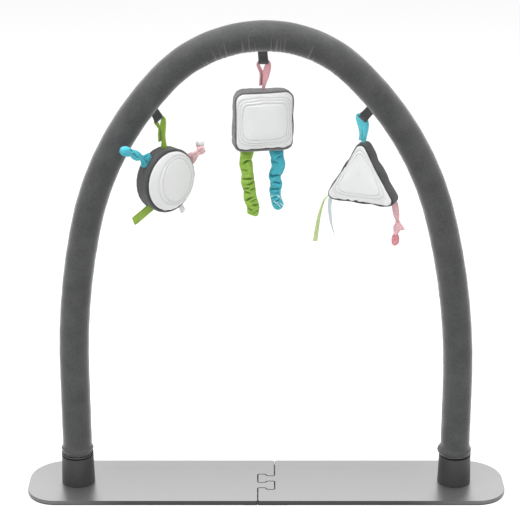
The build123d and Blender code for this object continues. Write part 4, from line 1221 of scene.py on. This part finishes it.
for piece in (tag, wing, wrap):
    piece.data.materials.append(pink_jersey)
tag.data.materials.append(deep_pink)
deep_pink_top = below_corner(46.3, 44.5, -7)[2]
for face in tag.data.polygons:
    face.material_index = int(face.center.z < deep_pink_top)
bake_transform(tag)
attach(wing, "pink_knot")
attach(wrap, "pink_knot")
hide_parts("triangle_pink_knot")


# Studio: a pale floor, a wide soft light overhead, one in front and a softer one at each side. Under
# the seam of the base the floor is plain paper, so that the gap between the halves stays dark. The
# floor stays under the right half, from which the left one and the arch are lifted away.

def seen_directly(material):
    """1 for what is looked at straight, in a mirror or through something clear, and otherwise 0."""
    rays = node(material, "ShaderNodeLightPath").outputs
    straight = maths(material, "MAXIMUM", rays["Is Camera Ray"], rays["Is Glossy Ray"])
    return maths(material, "MAXIMUM", straight, rays["Is Transmission Ray"])


def surface_mix(material, output, factor, first, second):
    """Let one of two shaders show, by a factor of 0 or 1."""
    mixed = node(material, "ShaderNodeMixShader", {0: factor, 1: first.outputs[0], 2: second.outputs[0]})
    material.node_tree.links.new(mixed.outputs[0], material.node_tree.nodes[output].inputs["Surface"])


FLOOR_EDGE, SEAM_HALF_DEPTH, SEAM_HALF_REACH = 20, 0.063, 0.03
floor_mesh = bpy.data.meshes.new("floor")
floor_mesh.from_pydata(
    [(x, y, 0) for y in (-FLOOR_EDGE, -SEAM_HALF_DEPTH, SEAM_HALF_DEPTH, FLOOR_EDGE)
     for x in (-FLOOR_EDGE, -SEAM_HALF_REACH, SEAM_HALF_REACH, FLOOR_EDGE)], [],
    [(corner, corner + 1, corner + 5, corner + 4) for corner in (0, 1, 2, 4, 5, 6, 8, 9, 10)])
UNDER_SEAM = 4
floor = put("floor", floor_mesh)
MATT_PAPER = {"Roughness": 1.0, "Specular_IOR_Level": 0.0, "Base_Color": (0.8, 0.8, 0.8, 1)}
paper = finish("white_paper", **MATT_PAPER)
seen = seen_directly(paper)
glow = node(paper, "ShaderNodeEmission", {"Color": (1, 1, 1, 1), "Strength": 0.8})
lit = node(paper, "ShaderNodeBsdfDiffuse", {"Color": (0.3, 0.3, 0.3, 1)})
both = node(paper, "ShaderNodeAddShader", {0: glow.outputs[0], 1: lit.outputs[0]})
surface_mix(paper, "Material Output", seen, paper.node_tree.nodes["Principled BSDF"], both)
plain_paper = finish("plain_paper", **MATT_PAPER)
floor.data.materials.append(paper)
floor.data.materials.append(plain_paper)
floor.data.polygons[UNDER_SEAM].material_index = 1
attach(floor, "base_right")

world = bpy.data.worlds.new("studio")
bpy.context.scene.world = world
world.use_nodes = True
seen = seen_directly(world)
fill_light = node(world, "ShaderNodeBackground", {"Color": (1, 1, 1, 1), "Strength": 0.24})
backdrop = node(world, "ShaderNodeBackground", {"Color": (1, 1, 1, 1), "Strength": 1.0})
surface_mix(world, "World Output", seen, fill_light, backdrop)


def soft_box(name, place, aim, width, height, power):
    """Soft rectangular lamp, kept out of mirror images."""
    light = bpy.data.lights.new(name, "AREA")
    light.shape = "RECTANGLE"
    light.size, light.size_y = width, height
    light.energy = power
    lamp = put(name, light)
    lamp.location = place
    lamp.rotation_euler = (Vector(aim) - Vector(place)).to_track_quat("-Z", "Y").to_euler()
    lamp.visible_glossy = False


soft_box("overhead_light", (0, 0.1, 2.6), (0, 0, 0.3), 3.0, 2.0, 102)
soft_box("front_light", (0, -3.0, 1.5), (0, 0, 0.35), 2.4, 1.6, 18)
soft_box("left_light", (-2.0, -0.8, 2.2), (0, 0, 0.45), 1.2, 1.8, 18)
soft_box("right_light", (2.0, -1.2, 1.6), (0, 0, 0.45), 1.2, 1.8, 4)

camera_data = bpy.data.cameras.new("camera")
camera_data.sensor_width = 36
camera_data.lens = 131.5
camera = put("camera", camera_data)
CAMERA_PITCH = radians(21)
CAMERA_DISTANCE = 2.635
AIM = Vector((-0.009, 0, 0.3495))
camera.location = AIM + CAMERA_DISTANCE * Vector((0, -cos(CAMERA_PITCH), sin(CAMERA_PITCH)))
camera.rotation_euler = (pi / 2 - CAMERA_PITCH, 0, 0)
bpy.context.scene.camera = camera
bpy.context.scene.view_settings.view_transform = "Standard"
